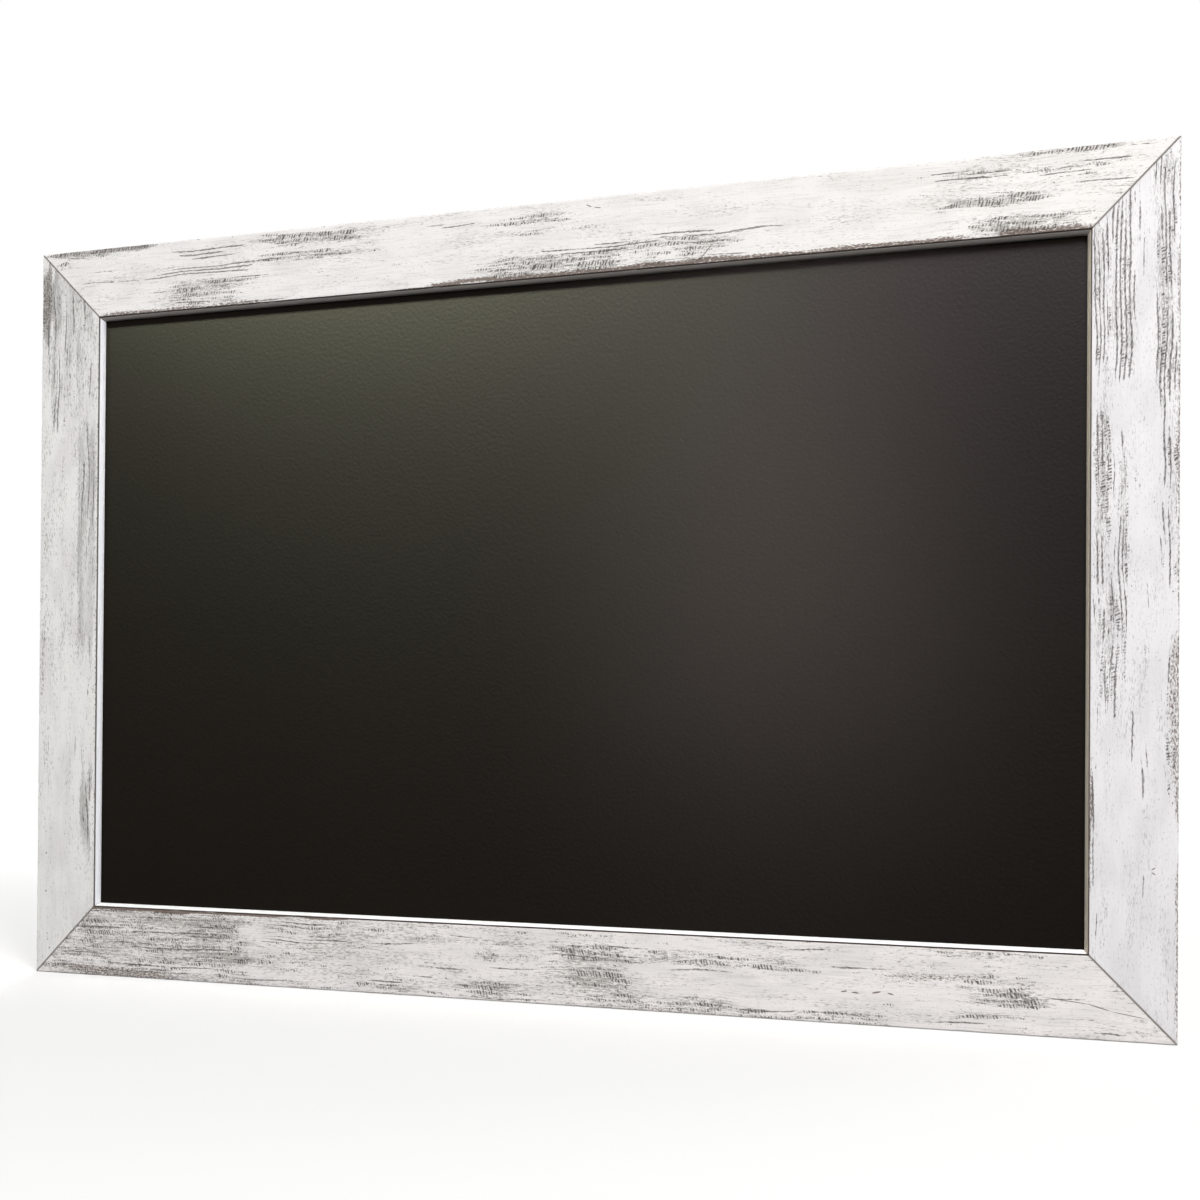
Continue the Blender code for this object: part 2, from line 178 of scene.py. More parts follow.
def appliedMesh(name, mesh, modifiers, cutters=(), sharpAngle=35):
    # Runs a bevel or cuts on a mesh and hands back the result
    blank = linked(name, mesh)
    for cutter in cutters:
        cut = blank.modifiers.new("cut", "BOOLEAN")
        cut.operation = "DIFFERENCE"
        cut.object = cutter
    for kind, settings in modifiers:
        modifier = blank.modifiers.new(kind, kind)
        for key, value in settings.items():
            setattr(modifier, key, value)
    graph = bpy.context.evaluated_depsgraph_get()
    result = bpy.data.meshes.new_from_object(blank.evaluated_get(graph))
    for spare in (blank, *cutters):
        bpy.data.objects.remove(spare, do_unlink=True)
    return finishMesh(result, sharpAngle)


def arcPoints(centre, radius, start, end, steps):
    points = []
    for step in range(steps + 1):
        angle = math.radians(start + (end - start) * step / steps)
        points.append((centre[0] + radius * math.cos(angle), centre[1] + radius * math.sin(angle)))
    return points


def circlePoints(centre, radius, steps):
    return arcPoints(centre, radius, 0, 360, steps)[:-1]


def extrudeOutline(bm, outline, lift, toPoint, hole=None):
    edges = []
    for loop in (outline, hole or []):
        verts = [bm.verts.new(toPoint(*pair)) for pair in loop]
        for first, second in zip(verts, verts[1:] + verts[:1]):
            edges.append(bm.edges.new((first, second)))
    filled = bmesh.ops.triangle_fill(bm, use_beauty=True, use_dissolve=False, edges=edges)
    faces = [item for item in filled["geom"] if isinstance(item, bmesh.types.BMFace)]
    raised = bmesh.ops.extrude_face_region(bm, geom=faces, use_keep_orig=True)
    moved = [item for item in raised["geom"] if isinstance(item, bmesh.types.BMVert)]
    bmesh.ops.translate(bm, verts=moved, vec=lift)


def turnProfile(bm, profile, steps):
    # Turns (radius, height) pairs round the Y axis; the profile starts and ends on the axis
    rings = []
    for radius, height in profile:
        count = 1 if radius == 0 else steps
        ring = []
        for step in range(count):
            angle = 2 * math.pi * step / count
            ring.append(bm.verts.new((radius * math.cos(angle), height, radius * math.sin(angle))))
        rings.append(ring)
    for lower, upper in zip(rings, rings[1:]):
        for step in range(steps):
            after = (step + 1) % steps
            corners = [lower[step % len(lower)], lower[after % len(lower)]]
            corners += [upper[after % len(upper)], upper[step % len(upper)]]
            bm.faces.new(list(dict.fromkeys(corners)))


# Rails

railShape = {
    "faceWidth": 0.0570,
    "grooveWidth": 0.0011,
    "grooveDepth": 0.0011,
    "lipWidth": 0.0022,
    "lipDrop": 0.0005,
    "lipDepth": 0.0058,
    "lipTurn": 0.0036,
    "lipRound": 0.0013,
    "rabbetWidth": 0.0080,
    "outerRound": 0.0014,
    "softCorner": 0.0003,
    "roundSteps": 6,
    "softSteps": 3,
    "backChamfer": 0.0006,
    "mitreGap": 0.0003,
    "faceStep": 0.0015,
    "alongStep": 0.0025,
    "endSteps": (0.0, 0.0002, 0.0006, 0.0015, 0.0035),
    "endRound": 0.0002,
    "endDepth": 0.0003,
    "waviness": 0.00010,
    "longWave": (0.060, 0.009),
    "shortWave": (0.022, 0.004),
    "shortShare": 0.6,
    "arrisWear": 0.00035,
    "longKnock": 0.012,
    "shortKnock": 0.0045,
    "knockBias": 0.1,
    "flat": 0.0001,
    "sharpAngle": 50,
    "nailSheet": 0.0006,
    "nailPlay": 0.0003,
}

# Where the dry-brushed white is thin on each rail, in millimetres: from and to along the rail
# (left to right, or bottom to top, 0 in the middle), from and to across it (0 at the outer
# edge), and how strong it is. comb is rows of short ticks across the grain, streak is thin
# lines along it, wash is a soft grey and brown is bare, dirty wood.
railWear = {
    "top": {
        "comb": [
            (-452, -348, -1, 4, 1.1), (-436, -385, 0, 7.5, 0.9), (-446, -415, 6, 14, 0.5),
            (-238, -160, 4, 13.5, 1.0), (-250, -150, 19, 25.5, 0.9), (-337, -262, 36, 54, 0.75),
            (-318, -285, 46, 53, 0.8), (-225, -160, 41, 52, 0.25), (-153, -138, 5, 12, 0.6),
            (-153, -138, 16, 21, 0.7), (-42, 12, 8.5, 15, 0.9), (-30, 5, 19, 24.5, 0.7),
            (-55, 62, 40, 55, 0.8), (-20, 25, 42, 50, 1.0), (60, 152, 34, 56, 0.65),
            (337, 415, 3, 9, 0.35), (350, 420, -1, 4, 0.9), (305, 418, 9, 15.5, 0.65),
            (298, 378, 28, 35.5, 0.9), (315, 395, 43, 56, 0.8), (318, 375, 51, 56, 1.0),
            (390, 406, 52, 56.5, 0.7), (150, 200, 46, 57, 0.35), (-440, 60, 30, 57, 0.1),
            (290, 430, -2, 57, 0.16), (-350, -150, -2, 57, 0.12), (-450, -340, -2, 57, 0.1),
        ],
        "streak": [
            (-430, -392, 26.5, 28.5, 0.9), (-418, -405, 37, 39, 0.7), (-352, -255, 22, 31, 1.0),
            (-300, -180, 15, 24, 0.55), (-430, -200, 0, 57, 0.22),
            (-322, -265, 7, 13.5, 0.9), (-140, -42, 9.5, 13, 1.0), (-8, 80, 36, 40, 1.0),
            (80, 155, 31, 36, 1.0), (60, 152, 40, 56, 0.75), (148, 190, 32, 36, 0.9),
            (190, 300, 36, 40, 0.25), (360, 404, 16, 20, 0.9), (392, 432, 22, 26, 0.8),
            (420, 452, 1.5, 3.5, 0.6), (300, 420, 9, 16, 0.85), (300, 340, 33, 36, 0.4),
            (-255, 60, 54, 57, 0.5), (-60, 450, -2, 58, 0.12),
        ],
        "wash": [
            (-345, -262, 34, 54, 0.35), (-355, -250, 22, 31, 0.25), (340, 385, 22, 34, 0.3),
            (-45, 60, 40, 55, 0.3), (-452, -350, -2, 5, 0.9), (-440, -395, 2, 9, 0.55),
        ],
        "brown": [
            (-400, -250, 54.5, 57.5, 0.8), (-95, 160, 53.5, 57.5, 1.0), (150, 330, 54, 57.5, 0.9),
            (330, 400, 53.5, 57.5, 0.9), (18, 46, 20.5, 23, 0.6),
        ],
    },
    "bottom": {
        "comb": [
            (-440, -250, -2, 58, 0.62), (-250, -110, -2, 58, 0.4), (-110, 60, -2, 58, 0.3),
            (60, 240, -2, 58, 0.06), (240, 450, -2, 58, 0.12), (-247, -150, 0, 10, 0.5),
            (-153, -97, 1, 7.5, 0.9), (-150, -90, 44, 52, 0.5), (-95, -50, 19, 25, 0.6),
            (-65, -12, 1, 15, 0.85), (-60, -24, 30, 46, 0.7), (-2, 80, 1, 55, 0.44),
            (20, 72, 14, 30, 0.85), (15, 75, 34, 46, 0.9), (38, 152, 0, 12, 0.75),
            (78, 152, 35, 46, 0.7), (122, 155, 20.5, 23.5, 0.6), (150, 268, -1, 8, 0.7),
            (312, 362, 9, 14.5, 0.7), (312, 372, 19.5, 30.5, 0.9), (265, 372, 31, 40, 0.45),
            (330, 372, 33, 38, 0.6), (150, 205, 34, 44, 0.65), (232, 240, 36, 42, 0.5),
            (297, 378, 51, 57.5, 0.65), (150, 195, 49, 56, 0.5),
        ],
        "streak": [
            (-440, -250, 4, 56, 0.38), (-250, 60, -2, 58, 0.28), (60, 450, -2, 58, 0.17),
            (-240, -170, 36, 52, 0.6), (-93, -55, 21, 23.5, 0.8),
            (-150, -60, 30, 56, 0.35), (0, 80, 3, 56, 0.3), (90, 152, 12, 14, 0.4),
            (150, 330, 2, 8, 0.6), (265, 330, 0, 3, 0.6), (370, 402, 24, 29, 0.6),
            (150, 200, 40, 43, 0.5), (402, 425, 29, 40, 0.5),
        ],
        "wash": [
            (-452, -250, -2, 58, 0.34), (-365, -255, 14, 52, 0.48), (-153, -60, 42, 56, 0.3),
            (-5, 80, 2, 56, 0.05), (-250, -170, 6, 54, 0.18),
        ],
        "brown": [
            (-425, -325, -2, 7, 0.6), (-445, -170, 55.6, 58, 1.9), (265, 330, 34, 38, 0.5),
            (60, 150, -2, 2, 0.4), (340, 370, 32, 36, 0.4), (130, 150, 35, 40, 0.3),
        ],
    },
    "left": {
        "comb": [
            (-290, -265, 10, 22, 0.15), (-70, 90, 1, 8, 0.3), (180, 300, 20, 54, 0.2),
            (240, 296, -1, 12, 0.65), (-130, 300, -2, 57, 0.1),
        ],
        "streak": [
            (-190, -130, 43, 53, 0.6), (-130, -100, 36.5, 38.5, 0.8), (-130, -85, 40, 50, 0.4),
            (-35, 0, 38, 40, 0.6), (-35, 10, 44, 50, 0.6), (175, 212, 6, 11, 0.8),
            (160, 262, 12, 55, 0.34), (60, 160, 40, 54, 0.6), (175, 235, 1, 8, 0.55),
            (-35, 60, 40, 55, 0.4), (-155, -140, 10, 12, 0.5), (-250, -210, 43, 52, 0.3),
        ],
        "wash": [
            (-190, -130, 42, 53, 0.5), (-35, 165, 38, 55, 0.45), (160, 262, 10, 55, 0.3),
            (238, 292, 1, 13, 0.75), (100, 162, 42, 52, 0.45),
            (165, 225, 10, 52, 0.3), (225, 300, 10, 52, 0.46),
        ],
        "brown": [
            (-75, 0, 1, 6, 0.3), (30, 90, 1, 5, 0.3), (-305, 305, 56, 57.5, 0.4),
            (250, 296, 0, 10, 0.55),
        ],
    },
    "right": {
        "comb": [
            (-275, -222, 5, 10, 0.3), (-135, -20, 1, 7, 0.6), (-80, 0, 33, 51, 0.6),
            (125, 257, 4, 15, 0.7), (275, 302, 2, 16, 0.5), (37, 118, 44, 54, 0.85),
            (0, 95, 33, 39, 0.65), (140, 265, 30, 42, 0.5), (155, 250, 44, 56, 0.5),
            (-20, 300, -2, 57, 0.15), (0, 128, 0, 7, 0.5), (60, 112, 50, 56, 0.4),
        ],
        "streak": [
            (-135, -15, 1, 8, 0.6), (-108, -78, 28, 30.5, 0.9), (-85, 5, 32, 51, 0.7),
            (-220, -105, 52, 57, 0.85), (0, 128, 3, 13, 0.85), (120, 260, 3, 15, 0.9),
            (262, 300, 2, 16, 0.6), (140, 268, 29, 43, 1.0), (155, 255, 44, 57, 0.95),
            (0, 120, 33, 54, 0.6), (150, 200, 16, 18, 0.4), (-300, -180, 2, 5, 0.4),
            (200, 262, 18, 27, 0.5), (262, 296, 20, 56, 0.5), (95, 150, 30, 56, 0.35),
            (-130, 300, -2, 57, 0.13),
        ],
        "wash": [
            (150, 262, 30, 56, 0.3), (130, 258, 3, 14, 0.3), (-80, 110, 34, 53, 0.2),
            (270, 300, 4, 16, 0.4),
        ],
        "brown": [
            (-305, 300, -2, 1.2, 0.6), (-165, -120, 54, 57.5, 0.9), (-135, -17, 0.5, 5, 0.5),
            (-220, -105, 55, 57.5, 0.5),
        ],
    },
}

# Single scratches: middle along and across, length, width, angle in degrees from the grain
railMarks = {
    "top": [(127.5, 49, 16, 0.8, -49), (36, 6, 5, 0.9, 25), (43, 8, 6, 0.8, 10)],
    "bottom": [
        (233, 23, 5, 1.2, 10), (241, 22.5, 6, 1.1, -5), (256, 23.5, 7, 1.3, 12), (266, 23, 5, 1.1, -15),
        (385, 25.5, 32, 0.7, -6), (407, 22, 16, 0.8, -15), (426, 18, 24, 0.6, -9),
    ],
    "left": [(-284, 13, 1.6, 1.2, 30), (-236, 9, 1.8, 1.2, 0), (-204, 9, 1.8, 1.3, 0)],
    "right": [(-190.6, 15.5, 3, 0.9, 60), (-187.4, 15.5, 3, 0.9, -60)],
}

# Pale scuffs, written the same way
railScuffs = {
    "bottom": [
        (-345, 43, 13, 1.0, 12), (-331, 42, 7, 0.9, -52), (-316, 43, 8, 0.9, 35),
        (-289, 40, 8, 1.0, -40),
    ],
}

# Edges of the worn patches: how softly they end along and across the grain, and how far and
# over what sizes they are ragged, in millimetres
wearEdge = {
    "softAlong": 30,
    "softAcross": 2.0,
    "ragged": 26,
    "raggedSize": (70, 4.2),
    "wander": 2.6,
    "wanderSize": (38, 14),
}

# Paint of each rail: the white and its shade, the grey of thin paint, the wood in the bare
# spots, the groove's stain, the lip's tone (its enamel, with painted shade on the top rail's lip),
# and how uneven and how cloudy the white is
railPaint = {
    "top": {
        "white": (0.850, 0.828, 0.812), "shade": (0.79, 0.768, 0.752), "thin": (0.39, 0.368, 0.352),
        # The top lip's dark grey is painted shade on the down-facing lip, not the enamel's own colour
        "wood": (0.075, 0.062, 0.055), "stain": (0.030, 0.020, 0.016), "lip": (0.40, 0.37, 0.345),
        "uneven": 0.20, "cloud": 0.45, "seed": 11.0,
    },
    "bottom": {
        "white": (0.890, 0.850, 0.838), "shade": (0.80, 0.768, 0.756), "thin": (0.33, 0.312, 0.290),
        "wood": (0.062, 0.055, 0.050), "stain": (0.028, 0.015, 0.010), "lip": (0.88, 0.885, 0.90),
        "uneven": 0.22, "cloud": 0.30, "seed": 23.0,
    },
    "left": {
        "white": (0.820, 0.812, 0.795), "shade": (0.745, 0.728, 0.718), "thin": (0.27, 0.265, 0.255),
        "wood": (0.120, 0.108, 0.098), "stain": (0.120, 0.105, 0.095), "lip": (0.86, 0.88, 0.93),
        "uneven": 0.13, "cloud": 0.72, "seed": 37.0,
    },
    "right": {
        "white": (0.828, 0.812, 0.830), "shade": (0.762, 0.748, 0.768), "thin": (0.41, 0.395, 0.395),
        "wood": (0.072, 0.062, 0.059), "stain": (0.150, 0.120, 0.095), "lip": (0.60, 0.54, 0.45),
        "uneven": 0.10, "cloud": 0.35, "seed": 41.0,
    },
}


def sectionCorners():
    # Inset from the outer edge, depth behind the face, rounding, and the surface that follows
    shape = railShape
    soft = shape["softCorner"]
    crest = shape["faceWidth"] + shape["grooveWidth"]
    sight = crest + shape["lipWidth"]
    rabbet = sight - shape["rabbetWidth"]
    return [
        (0, railThickness - shape["backChamfer"], 0, "paint"),
        (0, 0, shape["outerRound"], "paint"),
        (shape["faceWidth"], 0, soft, "stain"),
        (shape["faceWidth"], shape["grooveDepth"], soft, "stain"),
        (crest, shape["grooveDepth"], soft, "lip"),
        (crest, shape["lipDrop"], soft, "lip"),
        (sight, shape["lipTurn"], shape["lipRound"], "lip"),
        (sight, shape["lipDepth"], soft, "wood"),
        (rabbet, shape["lipDepth"], 0, "wood"),
        (rabbet, railThickness, soft, "wood"),
        (shape["backChamfer"], railThickness, 0, "wood"),
    ]


def railSection():
    # The closed section as points, each with the surface of the strip after it
    corners = sectionCorners()
    points = []
    for index, (inset, depth, rounding, surface) in enumerate(corners):
        here = Vector((inset, depth))
        if rounding == 0:
            points.append((here, surface))
            continue
        before = corners[index - 1]
        after = corners[(index + 1) % len(corners)]
        start = here + (Vector(before[:2]) - here).normalized() * rounding
        end = here + (Vector(after[:2]) - here).normalized() * rounding
        steps = railShape["roundSteps"] if rounding > railShape["softCorner"] else railShape["softSteps"]
        for step in range(steps + 1):
            share = step / steps
            point = start * (1 - share) ** 2 + here * 2 * share * (1 - share) + end * share ** 2
            points.append((point, surface if share >= 0.5 else before[3]))
    fine = []
    for index, (point, surface) in enumerate(points):
        target = points[(index + 1) % len(points)][0]
        pieces = max(1, round((target - point).length / railShape["faceStep"]))
        for piece in range(pieces):
            fine.append((point.lerp(target, piece / pieces), surface))
    return fine


def unrolled(section):
    # Distance round the section, 0 at the outer arris and growing across the face
    total = 0
    distances = []
    for index, (point, _) in enumerate(section):
        distances.append(total)
        total += (section[(index + 1) % len(section)][0] - point).length
    arris = min(range(len(section)), key=lambda i: section[i][0].length)
    return [distance - distances[arris] for distance in distances]


def smoothStep(value):
    share = np.clip(value, 0, 1)
    return share * share * (3 - 2 * share)


def noiseField(along, across, periodAlong, periodAcross, seed):
    pairs = zip(along / periodAlong, across / periodAcross)
    return np.array([noise.noise((a, b, seed)) for a, b in pairs])


def coverOf(patches, along, across, raggedAlong, raggedAcross):
    # The strongest patch at each point, with ragged ends and soft sides
    cover = np.zeros(len(along))
    softAlong = wearEdge["softAlong"]
    softAcross = wearEdge["softAcross"]
    strayed = across + raggedAcross
    for fromAlong, toAlong, fromAcross, toAcross, strength in patches:
        inside = smoothStep((along + raggedAlong - fromAlong + softAlong / 2) / softAlong)
        inside = inside * smoothStep((toAlong - along + raggedAlong + softAlong / 2) / softAlong)
        inside = inside * smoothStep((strayed - fromAcross + softAcross / 2) / softAcross)
        inside = inside * smoothStep((toAcross - strayed + softAcross / 2) / softAcross)
        cover = np.maximum(cover, strength * inside)
    return cover


def railRings(length):
    # Each ring is a share of the rail's half length, and a setback from the mitre
    setbacks = railShape["endSteps"]
    last = setbacks[-1]
    count = round(length / railShape["alongStep"])
    rings = [(-1, setback) for setback in setbacks]
    rings += [(2 * step / count - 1, last) for step in range(1, count)]
    rings += [(1, setback) for setback in reversed(setbacks)]
    return rings


def addFloats(mesh, name, values):
    attribute = mesh.attributes.new(name, "FLOAT", "POINT")
    attribute.data.foreach_set("value", values.astype(np.float32))


def addWear(mesh, side, along, across):
    # The worn patches and the place along and across the grain, kept at the points
    edge = wearEdge
    seed = railPaint[side]["seed"]
    ragged = edge["ragged"] * noiseField(along, across, *edge["raggedSize"], seed + 17)
    wander = edge["wander"] * noiseField(along, across, *edge["wanderSize"], seed + 21)
    for kind, patches in railWear[side].items():
        addFloats(mesh, kind, coverOf(patches, along, across, ragged, wander))
    grain = mesh.attributes.new("grain", "FLOAT_VECTOR", "POINT")
    coordinates = np.stack([along, across, np.full(len(along), seed)], 1)
    grain.data.foreach_set("vector", coordinates.astype(np.float32).ravel())


def railMesh(side, length, toWorld, materials):
    shape = railShape
    seed = railPaint[side]["seed"]
    section = railSection()
    distances = unrolled(section)
    rings = railRings(length)
    inset = np.array([point.x for point, _ in section])
    depth = np.array([point.y for point, _ in section])
    reach = length / 2 - inset - shape["mitreGap"] / math.sqrt(2)
    along = np.array([share * (reach - setback) for share, setback in rings])
    setbacks = np.array([setback if abs(share) == 1 else 1 for share, setback in rings])
    count = len(section)
    insets = np.tile(inset, (len(rings), 1))
    depths = np.tile(depth, (len(rings), 1))
    across = np.tile(np.array(distances), (len(rings), 1))

    # Slightly uneven face, and an arris that is knocked back here and there
    flatAlong = along.ravel()
    flatAcross = across.ravel()
    wave = noiseField(flatAlong, flatAcross, *shape["longWave"], seed)
    wave += shape["shortShare"] * noiseField(flatAlong, flatAcross, *shape["shortWave"], seed + 5)
    wave = wave.reshape(along.shape)
    onFace = (depths < shape["flat"]) & (insets < shape["faceWidth"])
    onSide = insets < shape["flat"]
    edgeLine = along[:, 0]
    knocked = noiseField(edgeLine, edgeLine * 0, shape["longKnock"], 1, seed + 9) + shape["knockBias"]
    small = noiseField(edgeLine, edgeLine * 0, shape["shortKnock"], 1, seed + 13)
    knocked = np.clip(knocked + shape["shortShare"] * small, 0, 1) * shape["arrisWear"]
    nearArris = np.clip(1 - (insets + depths) / (2 * shape["outerRound"]), 0, 1)
    depths = depths + onFace * wave * shape["waviness"] + nearArris * knocked[:, None]
    insets = insets + onSide * (depths > shape["flat"]) * np.abs(wave) * shape["waviness"]
    insets = insets + nearArris * knocked[:, None]
    ends = np.clip(1 - setbacks / shape["endSteps"][2], 0, 1)[:, None]
    depths = depths + ends * (depths < shape["endDepth"]) * shape["endRound"]

    points = [toWorld(a, i, d) for a, i, d in zip(flatAlong, insets.ravel(), depths.ravel())]
    faces = []
    zones = []
    order = {"paint": 0, "stain": 1, "lip": 2, "wood": 3}
    for ring in range(len(rings) - 1):
        for step in range(count):
            after = (step + 1) % count
            near = ring * count
            far = near + count
            faces.append((near + step, near + after, far + after, far + step))
            zones.append(order[section[step][1]])
    faces.append(list(range(count)))
    faces.append(list(range((len(rings) - 1) * count, len(rings) * count)))
    zones += [order["wood"]] * 2
    mesh = bpy.data.meshes.new("rail_" + side + "_surface")
    mesh.from_pydata(points, [], faces)
    mesh.polygons.foreach_set("material_index", zones)
    bm = bmesh.new()
    bm.from_mesh(mesh)
    bmesh.ops.recalc_face_normals(bm, faces=bm.faces)
    bm.to_mesh(mesh)
    bm.free()
    for material in materials:
        mesh.materials.append(material)

    addWear(mesh, side, flatAlong / mm, flatAcross / mm)
    seam = np.repeat(np.clip(1 - setbacks / shape["endSteps"][3], 0, 1), count)
    addFloats(mesh, "seam", seam)
    return cutForNails(mesh)


def nailSlots(materials):
    # The corner nails are driven a little below the backs, so their slots stay open there
    sheet = railShape["nailSheet"]
    play = railShape["nailPlay"]
    half = sheet / 2 + play
    bm = bmesh.new()
    for node in sorted(name for name in frame["nodes"] if name.startswith("corner_nail_")):
        low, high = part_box(node)
        wayX = 1 if low.x < 0 else -1
        wayZ = 1 if low.z < boardHeight / 2 else -1
        bendX = (low.x if wayX > 0 else high.x) + wayX * sheet / 2
        bendZ = (low.z if wayZ > 0 else high.z) + wayZ * sheet / 2
        leg = high.x - low.x - sheet / 2 + play
        floor = low.y - play
        outline = [(-half, -half), (leg, -half), (leg, half), (half, half), (half, leg), (-half, leg)]

        def toPoint(alongX, alongZ):
            return Vector((bendX + wayX * alongX, floor, bendZ + wayZ * alongZ))

        extrudeOutline(bm, outline, Vector((0, boardHigh.y + play - floor, 0)), toPoint)
    mesh = fromBmesh("nail_slots", bm)
    for material in materials:
        mesh.materials.append(material)
    mesh.polygons.foreach_set("material_index", [len(materials) - 1] * len(mesh.polygons))
    return mesh


def grainOf(mesh):
    values = np.zeros(len(mesh.vertices) * 3, np.float32)
    mesh.attributes["grain"].data.foreach_get("vector", values)
    return values.reshape(-1, 3)


def cutForNails(mesh):
    before = grainOf(mesh)
    tree = kdtree.KDTree(len(mesh.vertices))
    for vertex in mesh.vertices:
        tree.insert(vertex.co, vertex.index)
    tree.balance()
    cutter = linked("nail_slots", nailSlots(mesh.materials))
    cut = appliedMesh(mesh.name, mesh, [], [cutter], railShape["sharpAngle"])
    after = grainOf(cut)
    for index in np.flatnonzero(after[:, 2] == 0):
        # A point that the cut made takes its grain from the nearest old one
        nearest = tree.find(cut.vertices[index].co)[1]
        after[index] = before[nearest]
    cut.attributes["grain"].data.foreach_set("vector", after.ravel())
    return cut


def markMask(tree, grain, mark):
    # A thin pointed stroke, darkest in the middle
    along, across, length, width, angle = mark
    turned = addNode(tree, "ShaderNodeMapping", {
        "Vector": grain,
        "Location": (along, across, 0),
        "Rotation": (0, 0, math.radians(angle)),
        "Scale": (length / 2, width / 2, 1),
    }, vector_type="TEXTURE")
    parts = addNode(tree, "ShaderNodeSeparateXYZ", {"Vector": turned.outputs[0]})
    x = calc(tree, "MULTIPLY", parts.outputs[0], parts.outputs[0])
    y = calc(tree, "MULTIPLY", parts.outputs[1], parts.outputs[1])
    return band(tree, calc(tree, "ADD", x, y), 1.2, 0.5)


# Dry-brush rows: pitch across the grain, length of a swell along it, how much a patch opens
# them, how restless they are, where they start to open, how fast they swell and how wide at
# most, how ragged and how soft their edges are, and the ticks' pitch, lean and darkness, in mm.
brushRows = {
    "combed": {
        "pitch": 4.3, "length": 28, "opening": 0.52, "unrest": 1.45, "start": 0.99, "swell": 7.0,
        "widest": 2.6, "ragged": 3.6, "soft": 0.6, "ticks": 2.45, "lean": 0.35, "tone": 0.12,
        "tickTone": 0.80, "shift": 3.1,
    },
    "fine": {
        "pitch": 2.4, "length": 15, "opening": 0.42, "unrest": 1.5, "start": 1.01, "swell": 4.5,
        "widest": 1.1, "ragged": 3.0, "soft": 0.5, "ticks": 2.10, "lean": 0.30, "tone": 0.16,
        "tickTone": 0.62, "shift": 9.7,
    },
    "lined": {
        "pitch": 2.9, "length": 66, "opening": 0.52, "unrest": 1.7, "start": 1.15, "swell": 4.0,
        "widest": 0.75, "ragged": 1.5, "soft": 0.4, "ticks": 4.60, "lean": 2.0, "tone": 0.66,
        "tickTone": 0.26, "shift": 17.3,
    },
}


# What all the rows share: how far apart their noise lies, how the ticks stray and how deep they are
tickLook = {
    "lane": 11.7,
    "jitterSize": 2.3,
    "jitter": 15.0,
    "rowShift": 2.3,
    "grit": 2.6,
    "band": (1.15, 1.75),
    "depthSize": 1.5,
    "depthBand": (0.25, 0.58),
}


def skippedRows(tree, look, along, across, seed, strength, grit):
    # Rows where the brush skipped, swelling and closing along the grain, with ticks across them
    share = calc(tree, "DIVIDE", across, look["pitch"])
    row = calc(tree, "FLOOR", share)
    offset = calc(tree, "SUBTRACT", calc(tree, "SUBTRACT", share, row), 0.5)
    distance = calc(tree, "MULTIPLY", calc(tree, "ABSOLUTE", offset), look["pitch"])
    lane = calc(tree, "MULTIPLY", row, tickLook["lane"])
    place = addNode(tree, "ShaderNodeCombineXYZ", {0: along, 1: lane, 2: seed}).outputs[0]
    swell = noiseAt(tree, place, (look["length"], 1, 1), 2.0, 0.6, look["shift"])
    restless = calc(tree, "MULTIPLY", swell, look["unrest"])
    opened = calc(tree, "MULTIPLY_ADD", strength, look["opening"], restless)
    swollen = calc(tree, "MULTIPLY", calc(tree, "SUBTRACT", opened, look["start"]), look["swell"])
    width = calc(tree, "MINIMUM", swollen, look["widest"])
    inside = calc(tree, "SUBTRACT", width, distance)
    ragged = calc(tree, "MULTIPLY_ADD", calc(tree, "SUBTRACT", grit, 0.5), look["ragged"], inside)
    mask = band(tree, ragged, 0, look["soft"])

    slanted = calc(tree, "MULTIPLY_ADD", offset, look["lean"] * look["pitch"], along)
    jitterSize = (look["ticks"] * tickLook["jitterSize"], 1, 1)
    jitter = noiseAt(tree, place, jitterSize, 1.0, 0.5, look["shift"] + 1)
    rowPhase = calc(tree, "MULTIPLY", row, tickLook["rowShift"])
    phase = calc(tree, "MULTIPLY_ADD", jitter, tickLook["jitter"], rowPhase)
    wave = calc(tree, "SINE", calc(tree, "MULTIPLY_ADD", slanted, math.tau / look["ticks"], phase))
    tick = band(tree, calc(tree, "MULTIPLY_ADD", grit, tickLook["grit"], wave), *tickLook["band"])
    depthSize = (look["ticks"] * tickLook["depthSize"], 1, 1)
    depth = noiseAt(tree, place, depthSize, 1.0, 0.5, look["shift"] + 5)
    dark = calc(tree, "MULTIPLY", band(tree, depth, *tickLook["depthBand"]), look["tickTone"])
    tone = calc(tree, "MULTIPLY_ADD", tick, dark, look["tone"])
    return calc(tree, "MULTIPLY", mask, tone)


